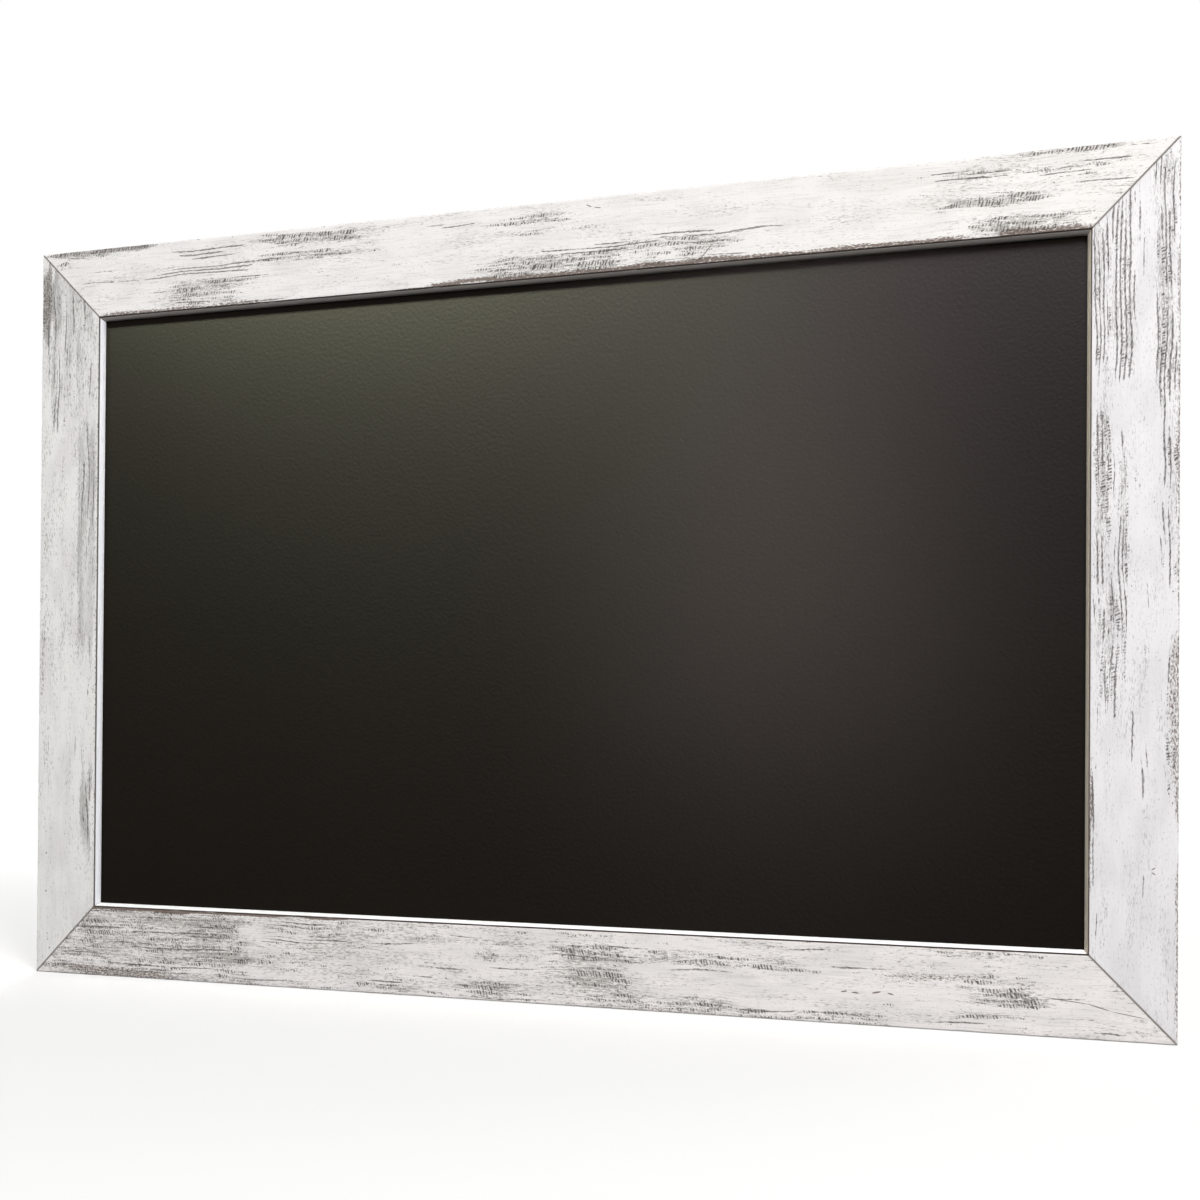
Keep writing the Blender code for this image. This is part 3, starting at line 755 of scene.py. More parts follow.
# A noise is its sizes (here along and across the grain, in millimetres), its detail, its roughness
# and its shift; a band is where a mask starts and ends
whitewashLook = {
    "bend": 9.0, "bendNoise": ((75, 26, 1), 1.0),
    "gritNoise": ((1.7, 0.8, 1), 2.0, 0.6, 41.3), "dashNoise": ((4.2, 0.9, 1), 2.0, 0.6, 43.9),
    "dustNoise": ((2.4, 1.1, 1), 2.0, 0.6, 23.1), "lineNoise": ((26, 1.2, 1), 3.0, 0.65, 29.3),
    "blotchNoise": ((60, 9, 1), 3.0, 0.6, 31.7), "shadeNoise": ((46, 20, 1), 2.0, 0.5, 53.9),
    "brushNoise": ((30, 0.7, 1), 2.0, 0.6, 37.7),
    "washToComb": 0.55, "washToStreak": 0.45,
    "brown": (0.115, 0.074, 0.052), "brownWeight": 0.42, "brownBand": (0.60, 0.88), "brownShare": 0.9,
    "combToThin": 0.5, "thinWeight": 0.62, "dashWeight": 1.5, "thinBand": (1.36, 1.72), "thinShare": 0.72,
    "blotchWeight": 0.8, "cloudBand": (0.55, 1.2), "hazeBand": (0.50, 0.66), "shadeBand": (0.40, 0.66),
    "scratch": (0.10, 0.06, 0.045), "scratchShare": 0.85, "scuffShare": 0.8, "seamShare": 0.75,
    "roughness": (0.55, 0.80), "specular": 0.35, "sunk": -0.8, "relief": 0.00010,
}


def whitewash(side):
    # White dry-brushed over grey-brown wood: it skips in rows of ticks and in thin lines
    paint = railPaint[side]
    look = whitewashLook
    material, tree, shader = newMaterial("whitewash_" + side)
    grain = attributeOf(tree, "grain", "Vector")
    parts = addNode(tree, "ShaderNodeSeparateXYZ", {"Vector": grain})
    along, across, seed = parts.outputs
    wander = noiseAt(tree, grain, *look["bendNoise"])
    bent = calc(tree, "MULTIPLY_ADD", wander, look["bend"], across)
    lineSpace = addNode(tree, "ShaderNodeCombineXYZ", {0: along, 1: bent, 2: seed}).outputs[0]
    grit = noiseAt(tree, lineSpace, *look["gritNoise"])
    dashes = noiseAt(tree, lineSpace, *look["dashNoise"])
    comb, streak, wash, brown, seam = (
        attributeOf(tree, name) for name in ("comb", "streak", "wash", "brown", "seam")
    )

    fineOpen = calc(tree, "MULTIPLY_ADD", wash, look["washToComb"], comb)
    lineOpen = calc(tree, "MULTIPLY_ADD", wash, look["washToStreak"], streak)
    combed = skippedRows(tree, brushRows["combed"], along, bent, seed, comb, grit)
    fine = skippedRows(tree, brushRows["fine"], along, bent, seed, fineOpen, grit)
    lined = skippedRows(tree, brushRows["lined"], along, bent, seed, lineOpen, dashes)
    worn = calc(tree, "MAXIMUM", calc(tree, "MAXIMUM", combed, fine), lined)

    dust = noiseAt(tree, lineSpace, *look["dustNoise"])
    browned = band(tree, calc(tree, "MULTIPLY_ADD", brown, look["brownWeight"], dust), *look["brownBand"])

    # Thin paint: the wood shows grey through it, in fine dashes
    thinLines = noiseAt(tree, lineSpace, *look["lineNoise"])
    blotches = noiseAt(tree, lineSpace, *look["blotchNoise"])
    opening = calc(tree, "MAXIMUM", wash, calc(tree, "MULTIPLY", comb, look["combToThin"]))
    dashed = calc(tree, "MULTIPLY_ADD", dashes, look["dashWeight"], blotches)
    thinned = calc(tree, "MULTIPLY_ADD", opening, look["thinWeight"], dashed)
    washed = calc(tree, "MULTIPLY", band(tree, thinned, *look["thinBand"]), look["thinShare"])
    cloudy = calc(tree, "MULTIPLY_ADD", blotches, look["blotchWeight"], wash)
    cloud = calc(tree, "MULTIPLY", band(tree, cloudy, *look["cloudBand"]), paint["cloud"])
    greyed = calc(tree, "MAXIMUM", washed, cloud)
    hazy = calc(tree, "MULTIPLY", band(tree, thinLines, *look["hazeBand"]), paint["uneven"])

    uneven = noiseAt(tree, lineSpace, *look["shadeNoise"])
    colour = tint(tree, band(tree, uneven, *look["shadeBand"]), paint["white"], paint["shade"])
    colour = tint(tree, calc(tree, "ADD", greyed, hazy), colour, paint["thin"])
    colour = tint(tree, calc(tree, "MULTIPLY", browned, look["brownShare"]), colour, look["brown"])
    colour = tint(tree, worn, colour, paint["wood"])
    for mark in railMarks[side]:
        scratch = calc(tree, "MULTIPLY", markMask(tree, grain, mark), look["scratchShare"])
        colour = tint(tree, scratch, colour, look["scratch"])
    for mark in railScuffs.get(side, []):
        scuff = calc(tree, "MULTIPLY", markMask(tree, grain, mark), look["scuffShare"])
        colour = tint(tree, scuff, colour, paint["white"])
    colour = tint(tree, calc(tree, "MULTIPLY", seam, look["seamShare"]), colour, paint["stain"])
    finishShader(tree, shader, colour, scaled(tree, worn, *look["roughness"]), look["specular"])
    brush = noiseAt(tree, lineSpace, *look["brushNoise"])
    setHeight(tree, shader, calc(tree, "MULTIPLY_ADD", worn, look["sunk"], brush), look["relief"])
    return material


stainLook = {
    "dashNoise": ((14, 3, 1), 3.0, 0.6, 5.5),
    "dashBand": (0.55, 0.75),
    "whiteShare": 0.25,
    "roughness": 0.7,
}


def grooveStain(side):
    look = stainLook
    stain = railPaint[side]["stain"]
    white = railPaint[side]["white"]
    share = look["whiteShare"]
    material, tree, shader = newMaterial("groove_stain_" + side)
    dashes = noiseAt(tree, attributeOf(tree, "grain", "Vector"), *look["dashNoise"])
    brushed = [(1 - share) * dark + share * pale for dark, pale in zip(stain, white)]
    colour = tint(tree, band(tree, dashes, *look["dashBand"]), stain, brushed)
    finishShader(tree, shader, colour, look["roughness"])
    return material


enamelLook = {
    "dirt": 0.62,
    "grimeNoise": ((22, 1.2, 1), 3.0, 0.6, 8.8),
    "grimeBand": (0.56, 0.80),
    "rippleNoise": ((9, 0.8, 1), 2.0),
    "roughness": 0.38,
    "specular": 0.5,
    "relief": 0.00005,
}


def lipEnamelAndShade(side):
    # Smooth enamel on the narrow lip, a little dirty along its length; on the top rail the lip's tone is
    # painted shade
    look = enamelLook
    lipTone = railPaint[side]["lip"]
    dirty = [look["dirt"] * part for part in lipTone]
    material, tree, shader = newMaterial("lip_enamel_" + side)
    grain = attributeOf(tree, "grain", "Vector")
    grime = noiseAt(tree, grain, *look["grimeNoise"])
    colour = tint(tree, band(tree, grime, *look["grimeBand"]), lipTone, dirty)
    finishShader(tree, shader, colour, look["roughness"], look["specular"])
    setHeight(tree, shader, noiseAt(tree, grain, *look["rippleNoise"]), look["relief"])
    return material


softwoodLook = {
    "ringNoise": ((160, 5.5, 1), 2.0, 0.5, 2.2), "ringBand": (0.38, 0.66),
    "fibreNoise": ((18, 0.5, 1), 3.0, 0.65, 4.4), "fibreShare": 0.5,
    "poreNoise": ((5, 0.35, 1), 1.0, 0.5, 6.6), "poreBand": (0.66, 0.74),
    "early": (0.62, 0.46, 0.29), "late": (0.45, 0.29, 0.155),
    "fibre": (0.35, 0.22, 0.12), "pore": (0.20, 0.12, 0.07),
    "roughness": (0.62, 0.82), "specular": 0.3, "relief": 0.00018,
}


def bareWood():
    # Planed softwood on the backs and in the rabbets
    look = softwoodLook
    material, tree, shader = newMaterial("planed_softwood")
    grain = attributeOf(tree, "grain", "Vector")
    rings = noiseAt(tree, grain, *look["ringNoise"])
    fibres = noiseAt(tree, grain, *look["fibreNoise"])
    pores = noiseAt(tree, grain, *look["poreNoise"])
    colour = tint(tree, band(tree, rings, *look["ringBand"]), look["early"], look["late"])
    colour = tint(tree, scaled(tree, fibres, 0.0, look["fibreShare"]), colour, look["fibre"])
    colour = tint(tree, band(tree, pores, *look["poreBand"]), colour, look["pore"])
    finishShader(tree, shader, colour, scaled(tree, fibres, *look["roughness"]), look["specular"])
    setHeight(tree, shader, fibres, look["relief"])
    return material


def buildRails():
    halfWidth = boardWidth / 2
    middle = boardLow.z + boardHeight / 2
    front = boardLow.y
    layout = {
        "bottom": (boardWidth, lambda a, i, d: (a, front + d, boardLow.z + i)),
        "top": (boardWidth, lambda a, i, d: (a, front + d, boardHigh.z - i)),
        "left": (boardHeight, lambda a, i, d: (i - halfWidth, front + d, middle + a)),
        "right": (boardHeight, lambda a, i, d: (halfWidth - i, front + d, middle + a)),
    }
    wood = bareWood()
    for side, (length, toWorld) in layout.items():
        surfaces = [whitewash(side), grooveStain(side), lipEnamelAndShade(side), wood]
        mesh = railMesh(side, length, toWorld, surfaces)
        name = "rail" + side.capitalize()
        placePiece(name, mesh, "board", ["rail_" + side])
        print("rail", side, len(mesh.vertices), "points")


buildRails()


# Writing panel

sheetLook = {
    "step": 0.010,
    "swell": 0.00008,
    "edge": 0,
    "hazeNoise": ((0.33, 1, 0.24), 3.0, 0.55, 4.1),
    "mottleNoise": ((0.0045, 1, 0.0045), 2.0, 0.6, 9.7),
    "mottleShare": 0.3,
    "toothNoise": ((0.0007, 1, 0.0007), 1.0, 0.5, 1.3),
    "rollerNoise": ((0.0026, 1, 0.0026), 2.0, 0.5, 6.1),
    "dustBand": (0.45, 0.95),
    "coat": (0.0044, 0.0029, 0.0019),
    "dusty": (0.0064, 0.0046, 0.0033),
    "roughness": (0.54, 0.62),
    "specular": 0.020,
    "toothShare": 0.3,
    "peel": 0.00018,
}

backingLook = {
    "step": 0.012,
    "swell": 0.00012,
    "edge": 0.0004,
    "board": (0.315, 0.205, 0.120), "dark": (0.280, 0.179, 0.104),
    "cloudNoise": ((0.16, 0.1, 0.12), 4.0, 0.65, 3.9), "cloudBand": (0.35, 0.7),
    "speck": (0.14, 0.085, 0.05), "fibre": (0.46, 0.33, 0.21),
    "speckNoise": ([0.0011] * 3, 2.0, 0.7, 5.1), "speckBand": (0.55, 0.75),
    "fibreNoise": ((0.006, 0.001, 0.0008), 2.0, 0.6, 7.3), "fibreBand": (0.64, 0.76),
    "roughness": (0.7, 0.9), "specular": 0.25, "relief": 0.00010,
}

plateSwell = (0.16, 0.12)  # how wide and high a swell of a plate's face is


def plateMesh(name, low, high, look):
    # A thin plate whose two broad faces are finely divided and very slightly uneven
    step = look["step"]
    columns = round((high.x - low.x) / step)
    rows = round((high.z - low.z) / step)
    bm = bmesh.new()
    layers = []
    for y, way in ((low.y, -1), (high.y, 1)):
        grid = []
        for row in range(rows + 1):
            line = []
            for column in range(columns + 1):
                x = low.x + (high.x - low.x) * column / columns
                z = low.z + (high.z - low.z) * row / rows
                rise = noise.noise((x / plateSwell[0], z / plateSwell[1], way * 3.3)) * look["swell"]
                line.append(bm.verts.new((x, y - way * abs(rise), z)))
            grid.append(line)
        layers.append(grid)
        for row in range(rows):
            for column in range(columns):
                corners = (grid[row][column], grid[row][column + 1])
                corners += (grid[row + 1][column + 1], grid[row + 1][column])
                bm.faces.new(corners)
    front, back = layers
    border = [(0, column) for column in range(columns)]
    border += [(row, columns) for row in range(rows)]
    border += [(rows, column) for column in range(columns, 0, -1)]
    border += [(row, 0) for row in range(rows, 0, -1)]
    for here, there in zip(border, border[1:] + border[:1]):
        corners = (front[here[0]][here[1]], front[there[0]][there[1]])
        corners += (back[there[0]][there[1]], back[here[0]][here[1]])
        bm.faces.new(corners)
    mesh = fromBmesh(name, bm)
    if look["edge"] == 0:
        return mesh
    bevel = {"width": look["edge"], "segments": 2, "limit_method": "ANGLE", "angle_limit": math.radians(60)}
    return appliedMesh(name, mesh, [("BEVEL", bevel)])


def chalkCoat():
    # Matte coat with a roller's fine grain and a faint haze of wiped chalk
    look = sheetLook
    material, tree, shader = newMaterial("chalk_coat")
    place = placeOf(tree)
    haze = noiseAt(tree, place, *look["hazeNoise"])
    mottle = noiseAt(tree, place, *look["mottleNoise"])
    tooth = noiseAt(tree, place, *look["toothNoise"])
    roller = noiseAt(tree, place, *look["rollerNoise"])
    dust = calc(tree, "MULTIPLY_ADD", mottle, look["mottleShare"], haze)
    colour = tint(tree, band(tree, dust, *look["dustBand"]), look["coat"], look["dusty"])
    finishShader(tree, shader, colour, scaled(tree, mottle, *look["roughness"]), look["specular"])
    setHeight(tree, shader, calc(tree, "MULTIPLY_ADD", tooth, look["toothShare"], roller), look["peel"])
    return material


def backingBoard():
    # Brown fibreboard: fine speckle, soft cloudy tone and a few long fibres
    look = backingLook
    material, tree, shader = newMaterial("backing_fibreboard")
    place = placeOf(tree)
    clouds = noiseAt(tree, place, *look["cloudNoise"])
    speckle = noiseAt(tree, place, *look["speckNoise"])
    fibres = noiseAt(tree, place, *look["fibreNoise"])
    colour = tint(tree, band(tree, clouds, *look["cloudBand"]), look["board"], look["dark"])
    colour = tint(tree, band(tree, speckle, *look["speckBand"]), colour, look["speck"])
    colour = tint(tree, band(tree, fibres, *look["fibreBand"]), colour, look["fibre"])
    finishShader(tree, shader, colour, scaled(tree, speckle, *look["roughness"]), look["specular"])
    setHeight(tree, shader, speckle, look["relief"])
    return material


def buildPanel():
    mesh = plateMesh("writing_sheet_surface", *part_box("writing_surface"), sheetLook)
    mesh.materials.append(chalkCoat())
    sheet = placePiece("writingSheet", mesh, "board", ["writing_surface"])
    mesh = plateMesh("backing_board_surface", *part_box("core_board"), backingLook)
    mesh.materials.append(backingBoard())
    placePiece("backingBoard", mesh, "board", ["core_board"])
    return sheet


writingSheet = buildPanel()
print("panel built")


# Hardware on the back

hardwareShape = {
    "roundSteps": 40,
    "wireSteps": 18,
    "rimSteps": 4,
    "crownSteps": 10,
    "foldSteps": 36,
    "cornerSteps": 10,
    "bendSteps": 8,
    "bowSteps": 44,
    "barSteps": 10,
    "edge": 0.00016,
    "screwRadius": 0.0015,
    "screwLength": 0.0120,
    "screwTip": 0.0030,
    "headRadius": 0.0032,
    "headHeight": 0.0020,
    "headRim": 0.0008,
    "rimRound": 0.00025,
    "crossWidth": 0.0009,
    "crossReach": 0.0019,
    "crossDepth": 0.0011,
    "holePlay": 0.0002,
    "seatGap": 0.0003,
    "strapSheet": 0.0008,
    "strapSlit": 0.00006,
    "strapEndRound": 0.0040,
    "firstHole": 0.0215,
    "holeSpacing": 0.0170,
    "wireRadius": 0.00125,
    "ringBend": 0.0026,
    "ringDepth": 0.0130,
    "ringPlay": 0.0008,
    "nailEdge": 0.00008,
}

bumperShape = {
    "topShare": 0.75,
    "soft": 0.0009,
    "softSteps": 8,
    "footIn": 0.0002,
    "footUp": 0.0003,
    "dimpleRim": 0.45,
    "dimple": 0.38,
    "dimpleDepth": 0.0003,
    "middleDepth": 0.0004,
}

zincLook = {
    "spangleNoise": ([0.0021] * 3, 2.0, 0.6, 3.3),
    "spangleBand": (0.38, 0.62),
    "brushNoise": ((0.0060, 0.0006, 0.0003), 2.0, 0.6, 6.1),
    "dullNoise": ([0.0045] * 3, 3.0, 0.65, 8.9),
    "dullBand": (0.58, 0.74),
    "darkShare": 0.55,
    "dullTone": (0.24, 0.235, 0.215),
    "smoother": 0.12,
    "rougher": 0.22,
}

# Tone, highest roughness and depth of the scratches
zincTones = {
    "zinc_screw": ((0.34, 0.34, 0.335), 0.36, 0.00002),
    "zinc_strip": ((0.37, 0.375, 0.385), 0.44, 0.00004),
    "zinc_strap": ((0.35, 0.355, 0.36), 0.42, 0.00004),
    "zinc_wire": ((0.40, 0.40, 0.40), 0.32, 0.00002),
    "nail_steel": ((0.22, 0.22, 0.235), 0.50, 0.00003),
}

rubberLook = {
    "skinNoise": ([0.0006] * 3, 2.0, 0.6, 2.7),
    "bloomNoise": ([0.004] * 3, 3.0, 0.6, 5.9),
    "bloomBand": (0.45, 0.8),
    "black": (0.016, 0.016, 0.017),
    "grey": (0.050, 0.049, 0.047),
    "roughness": (0.55, 0.80),
    "relief": 0.00006,
}

hinges = {joint["child"]: joint for joint in frame["joints"]}


def zinc(name):
    # Zinc plate: a grey spangle, fine brushing and a few dull spots
    look = zincLook
    base, roughness, scratches = zincTones[name]
    material, tree, shader = newMaterial(name)
    place = placeOf(tree)
    spangle = noiseAt(tree, place, *look["spangleNoise"])
    brushing = noiseAt(tree, place, *look["brushNoise"])
    dull = noiseAt(tree, place, *look["dullNoise"])
    dark = [look["darkShare"] * part for part in base]
    colour = tint(tree, band(tree, spangle, *look["spangleBand"]), base, dark)
    colour = tint(tree, band(tree, dull, *look["dullBand"]), colour, look["dullTone"])
    shader.inputs["Metallic"].default_value = 1.0
    brushed = scaled(tree, brushing, roughness - look["smoother"], roughness)
    finishShader(tree, shader, colour, calc(tree, "MULTIPLY_ADD", dull, look["rougher"], brushed))
    setHeight(tree, shader, brushing, scratches)
    return material


def blackRubber():
    look = rubberLook
    material, tree, shader = newMaterial("bumper_rubber")
    place = placeOf(tree)
    skin = noiseAt(tree, place, *look["skinNoise"])
    bloom = noiseAt(tree, place, *look["bloomNoise"])
    colour = tint(tree, band(tree, bloom, *look["bloomBand"]), look["black"], look["grey"])
    finishShader(tree, shader, colour, scaled(tree, skin, *look["roughness"]))
    setHeight(tree, shader, skin, look["relief"])
    return material


def screwMesh():
    # A pan-head screw along Y: its head sits on Y = 0 and its shank runs to -Y
    shape = hardwareShape
    rim = shape["headRim"]
    radius = shape["headRadius"]
    crown = shape["headHeight"] - rim
    soft = shape["rimRound"]
    profile = [(0, -shape["screwLength"]), (shape["screwRadius"], shape["screwTip"] - shape["screwLength"])]
    profile += [(shape["screwRadius"], 0)]
    profile += arcPoints((radius - soft, soft), soft, -90, 0, shape["rimSteps"])
    profile.append((radius, rim))
    for step in range(1, shape["crownSteps"]):
        angle = math.radians(90 / shape["crownSteps"] * step)
        profile.append((radius * math.cos(angle), rim + crown * math.sin(angle)))
    profile.append((0, shape["headHeight"]))
    bm = bmesh.new()
    turnProfile(bm, profile, shape["roundSteps"])
    blank = fromBmesh("screw_blank", bm)
    bm = bmesh.new()
    half = shape["crossWidth"] / 2
    outline = []
    for turn in range(4):
        spin = Matrix.Rotation(math.radians(90 * turn), 2)
        for corner in ((shape["crossReach"], -half), (shape["crossReach"], half), (half, half)):
            outline.append(tuple(spin @ Vector(corner)))
    floor = shape["headHeight"] - shape["crossDepth"]
    lift = Vector((0, shape["headHeight"], 0))
    extrudeOutline(bm, outline, lift, lambda x, z: Vector((x, floor, z)))
    cutter = linked("cross_cutter", fromBmesh("cross_cutter", bm))
    return appliedMesh("pan_screw", blank, [], [cutter])


def bevelled(name, bm, width):
    settings = {
        "width": width,
        "segments": 2,
        "limit_method": "ANGLE",
        "angle_limit": math.radians(50),
    }
    return appliedMesh(name, fromBmesh(name, bm), [("BEVEL", settings)])


def buttonMesh(low, high):
    # A flat strip with round ends, pivot at the origin and long end towards +Z
    shape = hardwareShape
    half = (high.x - low.x) / 2
    longEnd = (high.z - low.z) - 2 * half
    steps = shape["roundSteps"] // 2
    outline = arcPoints((0, longEnd), half, 0, 180, steps)
    outline += arcPoints((0, 0), half, 180, 360, steps)
    holeRadius = shape["screwRadius"] + shape["holePlay"]
    hole = circlePoints((0, 0), holeRadius, shape["roundSteps"])
    bm = bmesh.new()
    lift = Vector((0, high.y - low.y, 0))
    extrudeOutline(bm, outline, lift, lambda x, z: Vector((x, 0, z)), hole)
    return bevelled("turn_button_surface", bm, shape["edge"])


def strapMesh(low, high):
    # The strap is one strip folded double round the ring's bar, which runs along X at the origin.
    # Pairs are the drop below the bar and the height above the underside.
    shape = hardwareShape
    sheet = shape["strapSheet"]
    slit = shape["strapSlit"]
    bore = shape["wireRadius"] + shape["seatGap"]
    outer = bore + sheet
    length = (high.z - outer) - low.z
    leaf = 2 * sheet
    meetOuter = math.degrees(math.asin((leaf - outer) / outer))
    meetBore = math.degrees(math.asin((sheet + slit - outer) / bore))
    centre = (0, outer)
    outline = arcPoints(centre, outer, 270, meetOuter, shape["foldSteps"])
    outline += [(length, leaf), (length, sheet + slit)]
    outline += arcPoints(centre, bore, meetBore, 270, shape["foldSteps"])
    outline += [(length, sheet), (length, 0)]
    width = high.x - low.x
    bm = bmesh.new()

    def toPoint(drop, height):
        return Vector((-width / 2, height - outer, -drop))

    extrudeOutline(bm, outline, Vector((width, 0, 0)), toPoint)
    blank = fromBmesh("strap_blank", bm)
    cuts = bmesh.new()
    below = -outer - shape["seatGap"]
    lift = Vector((0, leaf + 2 * shape["seatGap"], 0))
    holeRadius = shape["screwRadius"] + shape["seatGap"]
    for drop in (shape["firstHole"], shape["firstHole"] + shape["holeSpacing"]):
        hole = circlePoints((0, -drop), holeRadius, shape["roundSteps"])
        extrudeOutline(cuts, hole, lift, lambda x, z: Vector((x, below, z)))
    rounding = shape["strapEndRound"]
    for side in (-1, 1):
        edge = side * width / 2
        middle = (edge - side * rounding, rounding - length)
        corner = arcPoints(middle, rounding, 270 + side * 90, 270, shape["cornerSteps"])
        corner += [(middle[0], -length - rounding), (edge + side * rounding, -length - rounding)]
        corner += [(edge + side * rounding, middle[1])]
        extrudeOutline(cuts, corner, lift, lambda x, z: Vector((x, below, z)))
    cutter = linked("strap_cutter", fromBmesh("strap_cutter", cuts))
    return appliedMesh("hanger_strap_surface", blank, [], [cutter])


def ringMesh(strapWidth):
    # Round wire bent to a D: the bar lies on the X axis and the bow hangs below it
    shape = hardwareShape
    halfBar = strapWidth / 2 + shape["ringPlay"]
    bend = shape["ringBend"]
    bow = shape["ringDepth"] - bend
    path = arcPoints((halfBar, bend), bend, 270, 360, shape["bendSteps"])
    for step in range(1, shape["bowSteps"]):
        angle = math.pi * step / shape["bowSteps"]
        path.append(((halfBar + bend) * math.cos(angle), bend + bow * math.sin(angle)))
    path += arcPoints((-halfBar, bend), bend, 180, 270, shape["bendSteps"])
    bars = shape["barSteps"]
    path += [(-halfBar + 2 * halfBar * step / bars, 0) for step in range(1, bars)]
    points = [Vector(pair) for pair in path]
    bm = bmesh.new()
    hoops = []
    count = len(points)
    for index in range(count):
        ahead = (points[(index + 1) % count] - points[index]).normalized()
        behind = (points[index] - points[index - 1]).normalized()
        tangent = (ahead + behind).normalized()
        outward = Vector((tangent.y, -tangent.x))
        hoop = []
        for step in range(shape["wireSteps"]):
            angle = 2 * math.pi * step / shape["wireSteps"]
            side = outward * shape["wireRadius"] * math.cos(angle)
            rise = shape["wireRadius"] * math.sin(angle)
            hoop.append(bm.verts.new((points[index].x + side.x, rise, -points[index].y - side.y)))
        hoops.append(hoop)
    for near, far in zip(hoops, hoops[1:] + hoops[:1]):
        for step in range(shape["wireSteps"]):
            after = (step + 1) % shape["wireSteps"]
            bm.faces.new((near[step], near[after], far[after], far[step]))
    return fromBmesh("hanging_ring_surface", bm)


def ringLean(strapWidth):
    # The bow rests on the strap, which tips the ring out by this angle
    shape = hardwareShape
    bow = shape["ringDepth"] - shape["ringBend"]
    halfWidth = strapWidth / 2 + shape["ringPlay"] + shape["ringBend"]
    share = strapWidth / 2 / halfWidth
    crossing = shape["ringBend"] + bow * math.sqrt(1 - share * share)
    outer = shape["wireRadius"] + shape["seatGap"] + shape["strapSheet"]
    rise = 2 * shape["strapSheet"] + shape["seatGap"] + shape["wireRadius"] - outer
    return math.asin(rise / crossing)


def bumperMesh(low, high):
    # A tapered foot with a soft top edge and a shallow dimple
    shape = bumperShape
    height = high.y - low.y
    radius = (high.x - low.x) / 2
    topRadius = shape["topShare"] * radius
    soft = shape["soft"]
    profile = [(0, 0), (radius - shape["footIn"], 0), (radius, shape["footUp"])]
    profile += arcPoints((topRadius - soft, height - soft), soft, 0, 90, shape["softSteps"])
    profile.append((topRadius * shape["dimpleRim"], height))
    profile.append((topRadius * shape["dimple"], height - shape["dimpleDepth"]))
    profile.append((0, height - shape["middleDepth"]))
    bm = bmesh.new()
    turnProfile(bm, profile, hardwareShape["roundSteps"])
    return fromBmesh("bumper_surface", bm)


def copyAt(mesh, matrix):
    placed = mesh.copy()
    placed.transform(matrix)
    return placed


def camel(node):
    first, *rest = node.split("_")
    return first + "".join(word.capitalize() for word in rest)


def buildScrews(mesh):
    # Each head sits where its node's head does; the driver slots stop at any angle
    for index, node in enumerate(sorted(name for name in frame["nodes"] if "screw" in name)):
        low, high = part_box(node)
        seat = Vector(((low.x + high.x) / 2, high.y - hardwareShape["headHeight"], (low.z + high.z) / 2))
        spin = Matrix.Rotation(math.radians(37 * index % 90), 4, "Y")
        placed = copyAt(mesh, Matrix.Translation(seat) @ spin)
        placePiece(camel(node), placed, "board", [node])


def buildButtons(material):
    low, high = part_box("turn_button_bottom_left")
    mesh = buttonMesh(low, high)
    mesh.materials.append(material)
    for body, hinge in hinges.items():
        if not body.startswith("button_"):
            continue
        node = "turn_" + body
        low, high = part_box(node)
        pivot = Vector(hinge["pos_m"])
        towards = (low + high) / 2 - pivot
        turn = math.atan2(towards.x, towards.z)
        matrix = Matrix.Translation((pivot.x, low.y, pivot.z)) @ Matrix.Rotation(turn, 4, "Y")
        placePiece(camel(node), copyAt(mesh, matrix), body, [node])


def buildHangers(strapMaterial, ringMaterial):
    for side in ("left", "right"):
        bar = Vector(hinges["ring_" + side]["pos_m"])
        axis = Matrix.Translation(bar)
        strapNode = "hanger_strap_" + side
        low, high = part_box(strapNode)
        strap = strapMesh(low - Vector((0, 0, bar.z)), high - Vector((0, 0, bar.z)))
        strap.materials.append(strapMaterial)
        placePiece(camel(strapNode), copyAt(strap, axis), "board", [strapNode])
        strapWidth = high.x - low.x
        ring = ringMesh(strapWidth)
        ring.materials.append(ringMaterial)
        lean = Matrix.Rotation(ringLean(strapWidth), 4, "X")
        ringNode = "hanging_ring_" + side
        placePiece(camel(ringNode), copyAt(ring, axis @ lean), "ring_" + side, [ringNode])


def buildBumpers(material):
    for node in sorted(name for name in frame["nodes"] if name.startswith("bumper_")):
        low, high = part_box(node)
        mesh = bumperMesh(low, high)
        mesh.materials.append(material)
        base = Vector(((low.x + high.x) / 2, low.y, (low.z + high.z) / 2))
        placed = copyAt(mesh, Matrix.Translation(base))
        placePiece(camel(node), placed, "board", [node])


def finishNails(material):
    # The corner nails keep their own solids, with softened edges
    for node, piece in frame["nodes"].items():
        if not node.startswith("corner_nail_"):
            continue
        piece.data.materials.clear()
        piece.data.materials.append(material)
        bevel = piece.modifiers.new("soft_edge", "BEVEL")
        bevel.width = hardwareShape["nailEdge"]
        bevel.segments = 2


screw = screwMesh()
screw.materials.append(zinc("zinc_screw"))
buildScrews(screw)
buildButtons(zinc("zinc_strip"))
buildHangers(zinc("zinc_strap"), zinc("zinc_wire"))
buildBumpers(blackRubber())
finishNails(zinc("nail_steel"))
print("hardware built")


# Camera

cameraLook = {
    "place": (0.45198, -1.17958, 0.20725),
    "right": (0.944600, 0.328149, 0.007064),
    "up": (-0.004032, -0.009919, 0.999943),
    "lens": 49.59,
    "sensor": 36.0,
    "shift": (0.00297, 0.0982),
    "clip": (0.05, 50),
}


